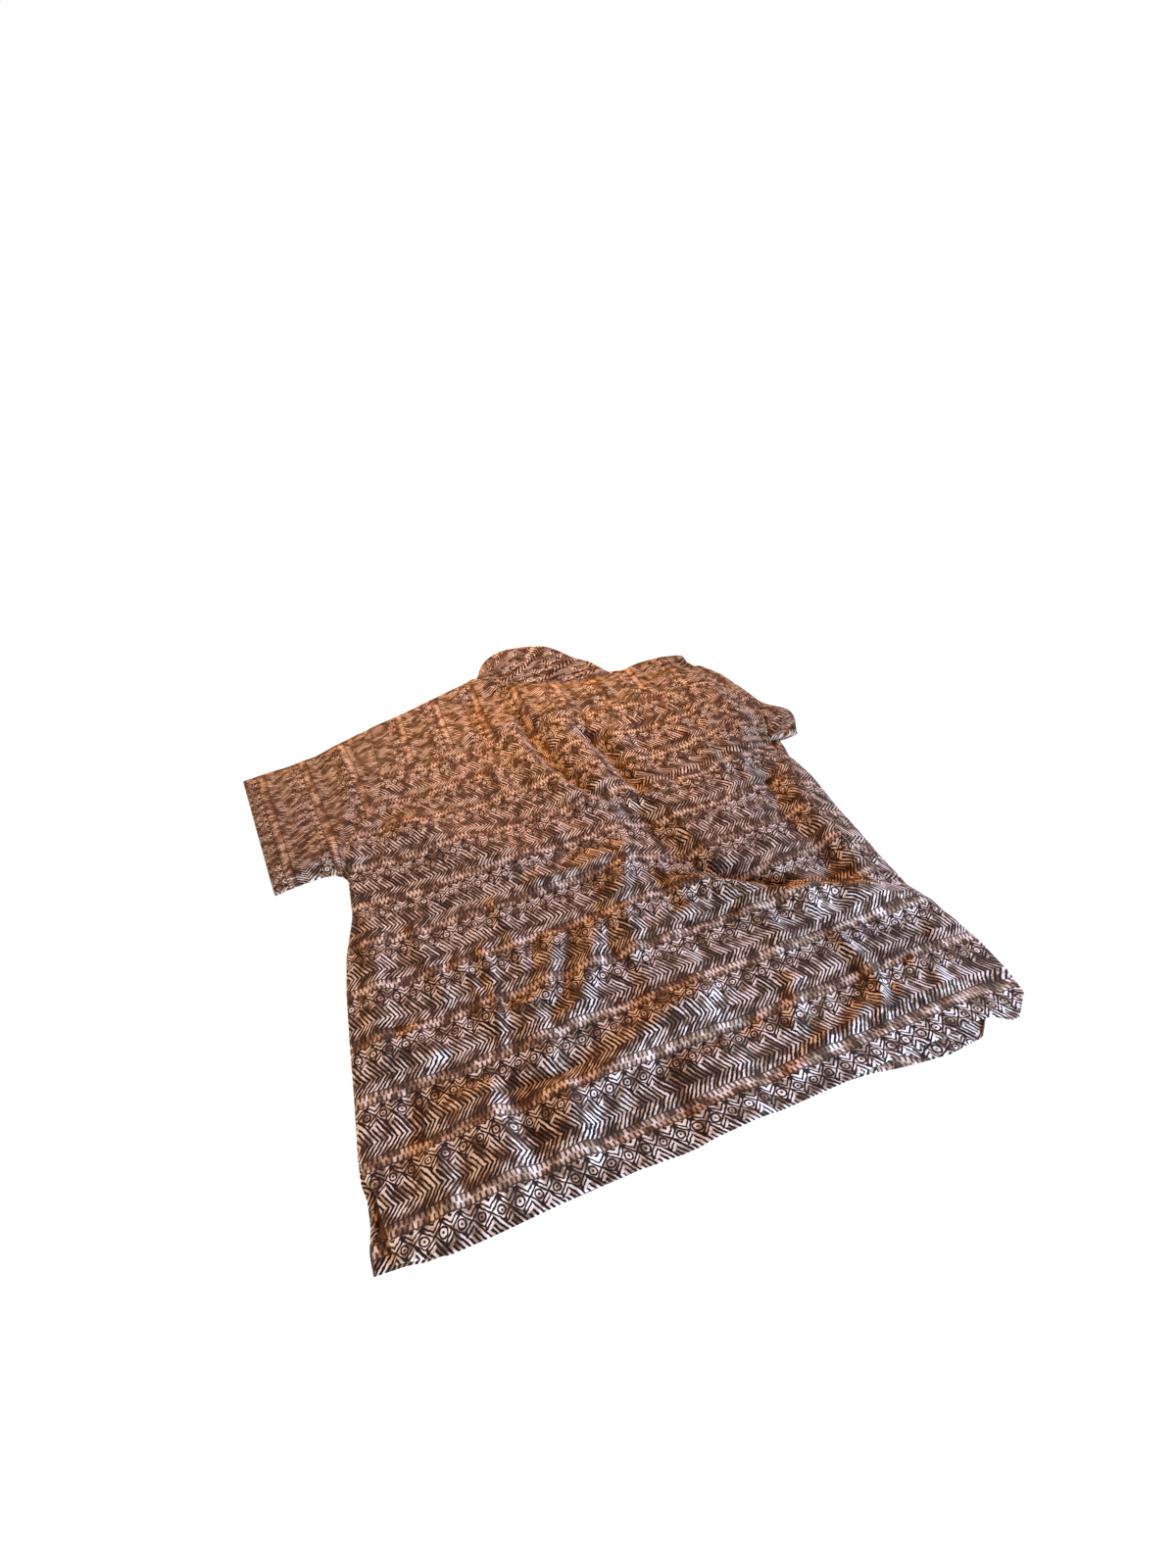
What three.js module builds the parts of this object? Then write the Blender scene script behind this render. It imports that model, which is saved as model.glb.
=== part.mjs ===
// Short-sleeved aloha shirt laid flat on its front: the back is on top, the left sleeve is
// spread out, the right sleeve is folded under, and the collar is turned up at the neck.
// Millimetres. X runs across the shirt to the wearer's right, Y runs from hem to neck, Z is up.
// The shirt rests on Z = 0 with the fronts, the sleeves and the buttons.
import * as THREE from 'three';

// ---------- cloth ----------
const CLOTH = 1.2;               // wall of one layer
const GAP = 0.8;                 // air between two layers that lie on each other
const LAYER = CLOTH + GAP;       // from one layer to the next
const SEAM = 0.4;                // clearance between two pieces along a seam
const HALF = CLOTH / 2;

// ---------- plan of the body: edges by their height on the shirt ----------
const LEFT_EDGE = [              // side seam of back and left front
  { y: -384, x: -258 }, { y: -319, x: -266 }, { y: -283, x: -273 }, { y: -227, x: -271 },
  { y: -119, x: -266 }, { y: -72, x: -261 }, { y: -20, x: -250 }, { y: 38, x: -248 },
  { y: 70, x: -246 }, { y: 91, x: -240 }, { y: 118, x: -223 }, { y: 146, x: -206 },
  { y: 177, x: -190 }, { y: 223, x: -186 }, { y: 325, x: -186 },
];
const BACK_RIGHT_EDGE = [        // where the back ends: hem corner, side seam, right armhole
  { y: -384, x: 318 }, { y: -345, x: 322 }, { y: -300, x: 322 }, { y: -252, x: 309 },
  { y: -222, x: 288 }, { y: -171, x: 268 }, { y: -95, x: 266 }, { y: -26, x: 281 },
  { y: 30, x: 295 }, { y: 46, x: 300 }, { y: 68, x: 312 }, { y: 98, x: 324 }, { y: 152, x: 320 },
  { y: 205, x: 310 }, { y: 260, x: 288 },
];
const FRONT_RIGHT_EDGE = [       // outermost line of the right front, where it rolls over
  { y: -384, x: 321 }, { y: -345, x: 326 }, { y: -300, x: 326 }, { y: -250, x: 320 },
  { y: -226, x: 304 }, { y: -197, x: 297 }, { y: -143, x: 302 }, { y: -94, x: 307 },
  { y: -41, x: 312 }, { y: 2, x: 309 }, { y: 24, x: 306 }, { y: 48, x: 302 },
  { y: 66, x: 306 }, { y: 98, x: 319 }, { y: 152, x: 316 }, { y: 205, x: 306 }, { y: 260, x: 284 },
];
const HEM_BACK = [
  { x: -280, y: -370 }, { x: -240, y: -377 }, { x: -150, y: -382 }, { x: 40, y: -381 },
  { x: 200, y: -378 }, { x: 270, y: -379 }, { x: 330, y: -386 },
];
const HEM_FRONT = [
  { x: -280, y: -373 }, { x: -240, y: -380 }, { x: -150, y: -384 }, { x: 120, y: -383 },
  { x: 200, y: -388 }, { x: 258, y: -389 }, { x: 285, y: -378 }, { x: 330, y: -380 },
];
const YOKE_SEAM = [
  { x: -200, y: 223 }, { x: -60, y: 220 }, { x: 60, y: 210 }, { x: 150, y: 196 },
  { x: 340, y: 178 },
];
const SHOULDER = [               // outermost line of the shoulders, with the back neck between
  { x: -186, y: 319 }, { x: -91, y: 347 }, { x: -22, y: 370 }, { x: 6, y: 346 },
  { x: 40, y: 326 }, { x: 75, y: 310 }, { x: 112, y: 298 }, { x: 148, y: 287 },
  { x: 186, y: 277 }, { x: 214, y: 279 }, { x: 253, y: 267 }, { x: 280, y: 266 },
  { x: 300, y: 246 }, { x: 330, y: 216 },
];
const FRONT_NECK = [             // the front neck curve
  { x: -30, y: 340 }, { x: -12, y: 300 }, { x: 20, y: 246 }, { x: 60, y: 226 },
  { x: 110, y: 226 }, { x: 150, y: 236 }, { x: 172, y: 250 }, { x: 196, y: 256 },
];
const NECK_LEFT = -30;           // the neck lies between these two shoulder points
const NECK_RIGHT = 196;

// ---------- lattice of the body panels ----------
const LEFT_CELLS = 8;            // cells from the left edge to the button stand
const RIGHT_CELLS = 9;           // cells from the button stand to the right edge
const STAND = [-40, -26, -13, 0, 13, 26, 40];   // columns about the centre front
const BODY_ROWS = 20;            // rows from hem to yoke seam
const YOKE_ROWS = 5;             // rows from yoke seam to shoulder
const CENTRE_AT_HEM = 26;        // x of the centre front at the hem and at the neck
const CENTRE_AT_NECK = 58;

// ---------- buttons, under the button stand ----------
const BUTTON_COUNT = 5;
const BUTTON_RADIUS = 5.7;
const BUTTON_THICK = 2.4;
const BUTTON_TOP_Y = 196;
const BUTTON_PITCH = 104;
const STAND_LIFT = 2.8;          // the stand rises over the buttons by this much

// ---------- right sleeve, folded under the body ----------
const TUCKED = {                 // its corners in plan
  shoulder: { x: 300, y: 246 }, cuffTop: { x: 172, y: 192 },
  cuffBottom: { x: 246, y: 4 }, underarm: { x: 318, y: 55 },
};
const TUCK_LIFT = 2 * LAYER + 0.6;   // the body lies this much higher over it
const TUCK_SLOPE = 26;               // and comes down over this width

// ---------- folds of the back and yoke: ridges, and troughs with a negative height ----------
const FOLDS = [
  { name: 'swell left of the centre trough', reach: 62, height: 11,
    line: [[-30, 250], [-20, 130], [10, 30]] },
  { name: 'swell of the right half', reach: 78, height: 17,
    line: [[196, 230], [190, 90], [196, -60]] },
  { name: 'centre trough', reach: 26, height: -12,
    line: [[40, 226], [50, 99], [85, 45], [124, -40], [136, -100]] },
  { name: 'ridge beside it', reach: 17, height: 7,
    line: [[67, 190], [74, 130], [101, 76], [124, 37]] },
  { name: 'foot of the right half', reach: 26, height: -13,
    line: [[126, -112], [168, -132], [205, -165], [252, -186]] },
  { name: 'drawn ridge to the side seam', reach: 24, height: 15,
    line: [[122, -146], [186, -184], [233, -212], [312, -236]] },
  { name: 'ridge at the waist', reach: 20, height: 9,
    line: [[62, -40], [31, -102], [34, -140]] },
  { name: 'slanting ridge', reach: 20, height: 10,
    line: [[5, -128], [-54, -203], [-92, -242]] },
  { name: 'long ridge above the hem', reach: 24, height: 10,
    line: [[-140, -318], [-62, -290], [10, -268], [90, -254]] },
  { name: 'hooked ridge above the hem', reach: 15, height: 9,
    line: [[214, -250], [209, -296], [190, -330], [110, -352]] },
  { name: 'ridge along the left side', reach: 16, height: 5,
    line: [[-226, -20], [-238, -110], [-226, -230]] },
];

// ---------- rolls at the edges of the top layer ----------
const SIDE_ROLL = [              // half height of the roll of the right front at the side
  { y: -384, half: 1.1 }, { y: -300, half: 1.1 }, { y: -262, half: 2.2 }, { y: -215, half: 7 },
  { y: -150, half: 9 }, { y: -80, half: 9 }, { y: -20, half: 7 }, { y: 20, half: 4 },
  { y: 44, half: 1.1 }, { y: 260, half: 1.1 },
];
const SHOULDER_HEIGHT = [        // height of the top layer along the shoulder line
  { x: -186, z: 5 }, { x: -91, z: 8 }, { x: -22, z: 13 }, { x: 60, z: 15 },
  { x: 150, z: 14 }, { x: 186, z: 14 }, { x: 253, z: 21 }, { x: 290, z: 20 }, { x: 330, z: 14 },
];
const ARMHOLE_HEIGHT = 13;       // height of the top layer along the right armhole
const COLLAR_LIFT = 5;           // the yoke lies this much higher over the collar's front band
const EDGE_BLEND = 48;           // width over which the top layer reaches an edge height
const YOKE_LIP = 13;             // the yoke turns over the shoulder by this much

// ---------- sleeves and collar ----------
const SLEEVE_ROUND = 9;          // cells across one wall of a sleeve
const LEFT_SLEEVE_RINGS = [      // from cuff to armhole: fold at the top, fold at the underarm
  { topX: -363, topY: 281, lowX: -327, lowY: 51, height: 2.8 },
  { topX: -350, topY: 283, lowX: -318, lowY: 55, height: 3.6 },
  { topX: -318, topY: 286, lowX: -303, lowY: 58, height: 5.0 },
  { topX: -285, topY: 290, lowX: -288, lowY: 60, height: 6.0 },
  { topX: -262, topY: 305, lowX: -275, lowY: 60, height: 6.5 },
  { topX: -232, topY: 312, lowX: -264, lowY: 50, height: 6.0 },
  { topX: -187, topY: 317, lowX: -251, lowY: 36, height: 5.0 },
];
const RIGHT_SLEEVE_BULGE = 27;   // it shows beyond the body near the underarm
const RIGHT_SLEEVE_TURN = 6;     // cells round the fold
const RIGHT_SLEEVE_LENGTH = 6;   // cells along the part that is tucked under
const COLLAR_ROWS = 4;           // cells from neck seam to free edge
const COLLAR = [                 // the band round the neck: its seam edge (s) and free edge (f)
  { s: [54, 224, 8.4], f: [64, 288, 1.6] },
  { s: [22, 240, 4.6], f: [44, 302, 0.6] },
  { s: [-8, 288, 2.4], f: [26, 322, 0.6] },
  { s: [-19, 320, 2.4], f: [12, 348, 0.6] },
  { s: [-13, 346, 2.4], f: [2, 366, 1.4] },
  { s: [-13, 366, 4.0], f: [-4, 377, 7.0] },
  { s: [-14, 370, 10], f: [-3, 382, 18] },
  { s: [-8, 359, 15.6], f: [6, 384, 28] },
  { s: [12, 338, 16.6], f: [20, 383, 36] },
  { s: [41, 322, 17.4], f: [44, 380, 41] },
  { s: [76, 306, 17.4], f: [88, 368, 41] },
  { s: [113, 294, 16.4], f: [112, 350, 36] },
  { s: [149, 283, 16.4], f: [134, 330, 27] },
  { s: [167, 279, 18], f: [152, 316, 23] },
  { s: [179, 286, 10.4], f: [166, 306, 12] },
  { s: [178, 284, 3.4], f: [168, 300, 4.0] },
  { s: [168, 251, 2.4], f: [158, 294, 1.0] },
  { s: [144, 231, 4.4], f: [138, 288, 0.6] },
  { s: [108, 222, 7.0], f: [112, 284, 1.6] },
  { s: [74, 221, 8.4], f: [78, 284, 3.6] },
];

// ---------- small maths ----------
const clamp01 = (t) => Math.min(1, Math.max(0, t));
const ease = (t) => { const c = clamp01(t); return c * c * (3 - 2 * c); };
const lerp = (a, b, t) => a + (b - a) * t;

// Value of one named column of a table at a place along another, straight between rows.
function lookup(table, along, want, at) {
  let k = 1;
  while (k < table.length - 1 && table[k][along] < at) k += 1;
  const a = table[k - 1];
  const b = table[k];
  return lerp(a[want], b[want], clamp01((at - a[along]) / (b[along] - a[along])));
}

function distanceToLine(line, x, y) {
  let best = Infinity;
  for (let k = 1; k < line.length; k += 1) {
    const [ax, ay] = line[k - 1];
    const [bx, by] = line[k];
    const t = clamp01(((x - ax) * (bx - ax) + (y - ay) * (by - ay)) / ((bx - ax) ** 2 + (by - ay) ** 2));
    best = Math.min(best, Math.hypot(x - lerp(ax, bx, t), y - lerp(ay, by, t)));
  }
  return best;
}

// ---------- heights ----------
const centreX = (y) => lerp(CENTRE_AT_HEM, CENTRE_AT_NECK, clamp01((y + 380) / 610));

// How far a point lies inside the tucked sleeve's outline; negative outside.
function insideTucked(x, y) {
  const corners = [TUCKED.shoulder, TUCKED.cuffTop, TUCKED.cuffBottom, TUCKED.underarm];
  let inside = Infinity;
  corners.forEach((a, k) => {
    const b = corners[(k + 1) % corners.length];
    const cross = (b.x - a.x) * (y - a.y) - (b.y - a.y) * (x - a.x);
    inside = Math.min(inside, cross / Math.hypot(b.x - a.x, b.y - a.y));
  });
  return inside;
}

// Underside of the lowest body layer: over the buttons and over the tucked sleeve.
function floorUnder(x, y) {
  const stand = STAND_LIFT * (1 - ease((Math.abs(x - centreX(y)) - 13) / 26));
  const inNeck = 1 - ease((y - 215) / 20);
  const tuck = TUCK_LIFT * ease((insideTucked(x, y) + TUCK_SLOPE + 6) / TUCK_SLOPE);
  return Math.max(stand * inNeck, tuck);
}

// The right front lies on the left front along the button stand.
function standStep(x, y) {
  const d = x - centreX(y);
  return LAYER * ease((d + 40) / 14) * (1 - ease((d - 26) / 14));
}

function topRise(x, y) {
  let rise = 1.5;
  for (const fold of FOLDS) {
    const d = distanceToLine(fold.line, x, y) / fold.reach;
    rise += fold.height * Math.exp(-d * d);
  }
  return Math.max(0.2, rise);
}

// Middle of the top layer (back and yoke).
function topHeight(x, y) {
  const left = ease((x - lookup(LEFT_EDGE, 'y', 'x', y)) / EDGE_BLEND);
  const lying = floorUnder(x, y) + standStep(x, y) + HALF + lerp(CLOTH + SEAM, LAYER, left);
  const hem = 0.25 + 0.75 * ease((y - lookup(HEM_BACK, 'x', 'y', x)) / 30);
  const overNeck = ease((y - 200) / 16) * ease((x + 40) / 20) * ease((200 - x) / 20);
  let z = lying + topRise(x, y) * (0.15 + 0.85 * left) * hem + COLLAR_LIFT * overNeck;
  const toSeam = lookup(BACK_RIGHT_EDGE, 'y', 'x', y) - x;
  const armhole = ease((y - 20) / 50);
  const rollTop = HALF + 2 * lookup(SIDE_ROLL, 'y', 'half', y);
  const sideHeight = lerp(Math.max(rollTop, lying), ARMHOLE_HEIGHT, armhole);
  z = lerp(sideHeight, z, ease(toSeam / EDGE_BLEND));
  const toTop = lookup(SHOULDER, 'x', 'y', x) - y;
  z = lerp(lookup(SHOULDER_HEIGHT, 'x', 'z', x), z, ease(toTop / EDGE_BLEND));
  return z;
}

// The yoke turns over at the shoulder: half its height there, how deep it turns, its lip.
function yokeTurn(x, y) {
  const inNeck = ease((x - NECK_LEFT) / 14) * ease((NECK_RIGHT - x) / 14);
  const height = topHeight(x, y);
  const floor = lerp(floorUnder(x, y) + HALF, height - LAYER, inNeck);
  const half = Math.max(LAYER / 2, (height - floor) / 2);
  return { half, deep: Math.min(half, 7), lip: lerp(YOKE_LIP, 1.5, inNeck) };
}

// Top edge of the fronts: the shoulder seam below the yoke's lip, and the front neck between.
function frontTop(x) {
  if (x > NECK_LEFT && x < NECK_RIGHT) return lookup(FRONT_NECK, 'x', 'y', x);
  const shoulder = lookup(SHOULDER, 'x', 'y', x);
  const turned = yokeTurn(x, shoulder);
  return shoulder - turned.deep - turned.lip - SEAM - 1.5;
}

// ---------- walls ----------
// A wall of cloth round a grid of middle points; a grid that is a tube closes on itself
// from its last row to its first.
function clothWall(grid, isTube) {
  const rows = grid.length;
  const cols = grid[0].length;
  const at = (i, j) => grid[isTube ? (i + rows) % rows : Math.min(rows - 1, Math.max(0, i))][
    Math.min(cols - 1, Math.max(0, j))];
  const points = [];
  for (const side of [HALF, -HALF]) {
    for (let i = 0; i < rows; i += 1) {
      for (let j = 0; j < cols; j += 1) {
        const along = new THREE.Vector3().subVectors(at(i, j + 1), at(i, j - 1));
        const across = new THREE.Vector3().subVectors(at(i + 1, j), at(i - 1, j));
        const normal = along.cross(across).normalize();
        points.push(grid[i][j].clone().addScaledVector(normal, side));
      }
    }
  }
  const lower = rows * cols;
  const id = (i, j) => (i % rows) * cols + j;
  const faces = [];
  const quad = (a, b, c, d) => faces.push(a, b, c, a, c, d);
  const lastRow = isTube ? rows : rows - 1;
  for (let i = 0; i < lastRow; i += 1) {
    for (let j = 0; j < cols - 1; j += 1) {
      quad(id(i, j), id(i, j + 1), id(i + 1, j + 1), id(i + 1, j));
      quad(lower + id(i, j), lower + id(i + 1, j), lower + id(i + 1, j + 1), lower + id(i, j + 1));
    }
  }
  for (let i = 0; i < lastRow; i += 1) {
    quad(id(i, 0), id(i + 1, 0), lower + id(i + 1, 0), lower + id(i, 0));
    const end = cols - 1;
    quad(id(i, end), lower + id(i, end), lower + id(i + 1, end), id(i + 1, end));
  }
  if (!isTube) {
    for (let j = 0; j < cols - 1; j += 1) {
      quad(id(0, j), lower + id(0, j), lower + id(0, j + 1), id(0, j + 1));
      const end = rows - 1;
      quad(id(end, j), id(end, j + 1), lower + id(end, j + 1), lower + id(end, j));
    }
  }
  const geometry = new THREE.BufferGeometry();
  const flat = new Float32Array(points.length * 3);
  points.forEach((p, k) => flat.set([p.x, p.y, p.z], k * 3));
  geometry.setAttribute('position', new THREE.BufferAttribute(flat, 3));
  geometry.setIndex(faces);
  return geometry;
}

// ---------- body panels ----------
// x of a lattice column between a left and a right edge, at height y.
function columnX(column, leftX, rightX, y) {
  const stand = column - LEFT_CELLS;
  if (stand < 0) return lerp(leftX, centreX(y) + STAND[0], column / LEFT_CELLS);
  if (stand < STAND.length) return centreX(y) + STAND[stand];
  const last = STAND[STAND.length - 1];
  return lerp(centreX(y) + last, rightX, (stand - STAND.length + 1) / RIGHT_CELLS);
}
const shoulderTop = (x) => lookup(SHOULDER, 'x', 'y', x);
const LAST_COLUMN = LEFT_CELLS + STAND.length - 1 + RIGHT_CELLS;

// A lattice point: its row counts from the hem up to the yoke seam and on to the shoulder.
function latticePoint(column, row, hem, top, rightEdge) {
  let y = 0;
  let x = 0;
  for (let pass = 0; pass < 4; pass += 1) {
    const leftX = lookup(LEFT_EDGE, 'y', 'x', y);
    x = columnX(column, leftX, lookup(rightEdge, 'y', 'x', y), y);
    const seamY = lookup(YOKE_SEAM, 'x', 'y', x);
    const body = row / BODY_ROWS;
    const above = (row - BODY_ROWS) / YOKE_ROWS;
    y = body <= 1 ? lerp(lookup(hem, 'x', 'y', x), seamY, body) : lerp(seamY, top(x), above);
  }
  return { x, y };
}

function backPanel() {
  const grid = [];
  for (let row = 0; row <= BODY_ROWS; row += 1) {
    const line = [];
    for (let column = 0; column <= LAST_COLUMN; column += 1) {
      const p = latticePoint(column, row, HEM_BACK, shoulderTop, BACK_RIGHT_EDGE);
      const y = row === BODY_ROWS ? p.y - SEAM / 2 : p.y;
      line.push(new THREE.Vector3(p.x, y, topHeight(p.x, p.y)));
    }
    grid.push(line);
  }
  return clothWall(grid, false);
}

// The yoke runs from its seam up to the shoulder, turns over it, and ends in a lip below.
function yokePanel() {
  const turn = 4;
  const grid = [];
  for (let row = BODY_ROWS; row <= BODY_ROWS + YOKE_ROWS + turn + 1; row += 1) {
    const line = [];
    for (let column = 0; column <= LAST_COLUMN; column += 1) {
      const flatRow = Math.min(row, BODY_ROWS + YOKE_ROWS);
      const p = latticePoint(column, flatRow, HEM_BACK, shoulderTop, BACK_RIGHT_EDGE);
      const height = topHeight(p.x, p.y);
      const { half, deep, lip } = yokeTurn(p.x, p.y);
      const above = ease((flatRow - BODY_ROWS) / YOKE_ROWS);
      let y = p.y - deep * above;
      let z = height;
      if (row === BODY_ROWS) y += SEAM / 2;
      if (row > BODY_ROWS + YOKE_ROWS) {
        const angle = Math.PI * Math.min(1, (row - BODY_ROWS - YOKE_ROWS) / turn);
        y = p.y - deep + deep * Math.sin(angle);
        z = height - half * (1 - Math.cos(angle));
      }
      if (row > BODY_ROWS + YOKE_ROWS + turn) {
        y -= lip;
        if (half > LAYER / 2) z = Math.max(z, floorUnder(p.x, y) + HALF);
      }
      line.push(new THREE.Vector3(p.x, y, z));
    }
    grid.push(line);
  }
  return clothWall(grid, false);
}

function leftFront() {
  const grid = [];
  const lastColumn = LEFT_CELLS + 4;          // ends 13 mm past the centre front
  for (let row = 0; row <= BODY_ROWS + YOKE_ROWS; row += 1) {
    const line = [];
    for (let column = 0; column <= lastColumn; column += 1) {
      const p = latticePoint(column, row, HEM_FRONT, frontTop, FRONT_RIGHT_EDGE);
      const vent = 14 * ease((-300 - p.y) / 60) * (1 - column / LEFT_CELLS);
      const x = p.x - Math.max(0, vent);
      line.push(new THREE.Vector3(x, p.y, floorUnder(p.x, p.y) + HALF));
    }
    grid.push(line);
  }
  return clothWall(grid, false);
}

// The right front rolls up round its side edge and comes back over the top to the side seam.
function rightFront() {
  const turn = 5;
  const grid = [];
  for (let row = 0; row <= BODY_ROWS + YOKE_ROWS; row += 1) {
    const line = [];
    for (let column = LEFT_CELLS + 2; column <= LAST_COLUMN; column += 1) {
      const p = latticePoint(column, row, HEM_FRONT, frontTop, FRONT_RIGHT_EDGE);
      const half = lookup(SIDE_ROLL, 'y', 'half', p.y);
      const inset = half * ease((column - LAST_COLUMN + 3) / 3);
      const z = floorUnder(p.x, p.y) + standStep(p.x, p.y) + HALF;
      line.push(new THREE.Vector3(p.x - inset, p.y, z));
    }
    const last = line[line.length - 1];
    const half = lookup(SIDE_ROLL, 'y', 'half', last.y);
    const over = Math.max(1.2, last.x - lookup(BACK_RIGHT_EDGE, 'y', 'x', last.y) - 3 * SEAM);
    for (let k = 1; k <= turn; k += 1) {
      const angle = (Math.PI * k) / turn;
      const x = last.x + half * Math.sin(angle);
      line.push(new THREE.Vector3(x, last.y, last.z + half * (1 - Math.cos(angle))));
    }
    for (let k = 1; k <= 2; k += 1) {
      line.push(new THREE.Vector3(last.x - (over * k) / 2, last.y, last.z + 2 * half));
    }
    grid.push(line);
  }
  return clothWall(grid, false);
}

// ---------- sleeves ----------
// One flattened ring of a sleeve: along the upper wall from underarm to shoulder, round the
// fold, and back along the lower wall. 'place' gives the plan point at a share of the way.
function flatRing(place, upper, lower) {
  const ring = [];
  const add = (t, z) => ring.push(new THREE.Vector3(place(t).x, place(t).y, z));
  const margin = 0.009;
  for (let k = 0; k <= SLEEVE_ROUND; k += 1) {
    const t = lerp(margin, 1 - margin, k / SLEEVE_ROUND);
    add(t, upper(t));
  }
  add(1, (upper(1) + lower(1)) / 2);
  for (let k = SLEEVE_ROUND; k >= 0; k -= 1) {
    const t = lerp(margin, 1 - margin, k / SLEEVE_ROUND);
    add(t, lower(t));
  }
  add(0, (upper(0) + lower(0)) / 2);
  return ring;
}

function ringsToTube(rings) {
  const grid = [];
  for (let i = 0; i < rings[0].length; i += 1) grid.push(rings.map((ring) => ring[i]));
  return clothWall(grid, true);
}

// The armhole end follows the left edge of the body; the cuff end is straight.
function leftSleeve() {
  const rings = LEFT_SLEEVE_RINGS.map((row, k) => {
    const share = (k / (LEFT_SLEEVE_RINGS.length - 1)) ** 2;
    const place = (t) => {
      const x = lerp(row.lowX, row.topX, t);
      const y = lerp(row.lowY, row.topY, t);
      const armholeX = lookup(LEFT_EDGE, 'y', 'x', y) - SEAM - 1;
      return { x: Math.min(lerp(x, armholeX, share), armholeX), y };
    };
    const crown = (t) => LAYER + (row.height - LAYER) * Math.sqrt(Math.sin(Math.PI * clamp01(t)));
    return flatRing(place, (t) => HALF + crown(t), () => HALF);
  });
  return ringsToTube(rings);
}

// The right sleeve leaves the armhole at the top, turns down round the side of the body, and
// lies between the right front and the surface.
function rightSleeve() {
  const rings = [];
  const outerHalf = (ARMHOLE_HEIGHT - HALF) / 2;
  const innerHalf = 1.6;
  const stations = RIGHT_SLEEVE_TURN + RIGHT_SLEEVE_LENGTH;
  const { underarm, shoulder, cuffBottom, cuffTop } = TUCKED;
  for (let k = 0; k <= stations; k += 1) {
    const angle = Math.PI * Math.min(1, k / RIGHT_SLEEVE_TURN);
    const along = Math.max(0, (k - RIGHT_SLEEVE_TURN) / RIGHT_SLEEVE_LENGTH);
    const place = (t) => {
      const y = lerp(underarm.y, shoulder.y, t);
      const armholeX = lookup(BACK_RIGHT_EDGE, 'y', 'x', y) + 4 * SEAM;
      return {
        x: lerp(armholeX, lerp(cuffBottom.x, cuffTop.x, t), along),
        y: lerp(y, lerp(cuffBottom.y, cuffTop.y, t), along),
      };
    };
    const upper = () => HALF + outerHalf * (1 + Math.cos(angle));
    const lower = () => HALF + LAYER + innerHalf * (1 + Math.cos(angle));
    const ring = flatRing(place, upper, lower);
    ring.forEach((p, i) => {
      const outer = i <= SLEEVE_ROUND;
      const t = clamp01((p.y - underarm.y) / (shoulder.y - underarm.y));
      const bulge = 12 + RIGHT_SLEEVE_BULGE * Math.exp(-(((t - 0.2) / 0.17) ** 2));
      p.x += Math.sin(angle) * (outer ? bulge : bulge - 5);
    });
    rings.push(ring);
  }
  return ringsToTube(rings);
}

// ---------- collar ----------
function collarBand() {
  const grid = [];
  for (let k = 0; k <= COLLAR_ROWS; k += 1) {
    const t = k / COLLAR_ROWS;
    grid.push(COLLAR.map(({ s, f }) => new THREE.Vector3(
      lerp(s[0], f[0], t), lerp(s[1], f[1], t), lerp(s[2], f[2], t))));
  }
  return clothWall(grid, false);
}

// ---------- buttons ----------
function buttonSolid() {
  const rim = 0.5;
  const profile = [
    [0, 0], [BUTTON_RADIUS - rim, 0], [BUTTON_RADIUS, rim], [BUTTON_RADIUS, BUTTON_THICK - rim],
    [BUTTON_RADIUS - rim, BUTTON_THICK], [0, BUTTON_THICK],
  ].map(([r, h]) => new THREE.Vector2(r, h));
  const geometry = new THREE.LatheGeometry(profile, 16);
  geometry.rotateX(Math.PI / 2);
  return geometry;
}

// ---------- the shirt ----------
const shirt = new THREE.Group();

function addPiece(name, geometry, color, roughness) {
  const material = new THREE.MeshStandardMaterial({ color, roughness, metalness: 0 });
  const mesh = new THREE.Mesh(geometry, material);
  mesh.name = name;
  shirt.add(mesh);
  return mesh;
}

addPiece('back', backPanel(), 0x7a5140, 0.85);
addPiece('yoke', yokePanel(), 0x8a5a40, 0.85);
addPiece('front_left', leftFront(), 0x6f4a3b, 0.85);
addPiece('front_right', rightFront(), 0x74503f, 0.85);
addPiece('sleeve_left', leftSleeve(), 0x80553f, 0.85);
addPiece('sleeve_right', rightSleeve(), 0x785040, 0.85);
addPiece('collar', collarBand(), 0x8c5e42, 0.8);
for (let k = 0; k < BUTTON_COUNT; k += 1) {
  const button = addPiece(`button_${k + 1}`, buttonSolid(), 0x4a3226, 0.35);
  const y = BUTTON_TOP_Y - BUTTON_PITCH * k;
  button.position.set(centreX(y), y, 0);
}

// The origin is the middle of the shirt's outline, on the surface it rests on.
const outline = new THREE.Box3().setFromObject(shirt);
shirt.position.set(-(outline.min.x + outline.max.x) / 2, -(outline.min.y + outline.max.y) / 2, 0);

export default shirt;
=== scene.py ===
"""A short-sleeved aloha shirt laid flat on its front, for Blender 4.5.

The cloth pieces are built in millimetres in the shirt's own plan: X runs across the shirt to the
wearer's right, Y from hem to neck, Z up from the surface. Each piece carries a UV map named
"cloth" whose unit is one repeat of the print, so the print bends and turns with the cloth.
"""

import math

import bmesh
import bpy
import numpy as np
from mathutils import Matrix, Vector, noise


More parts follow.
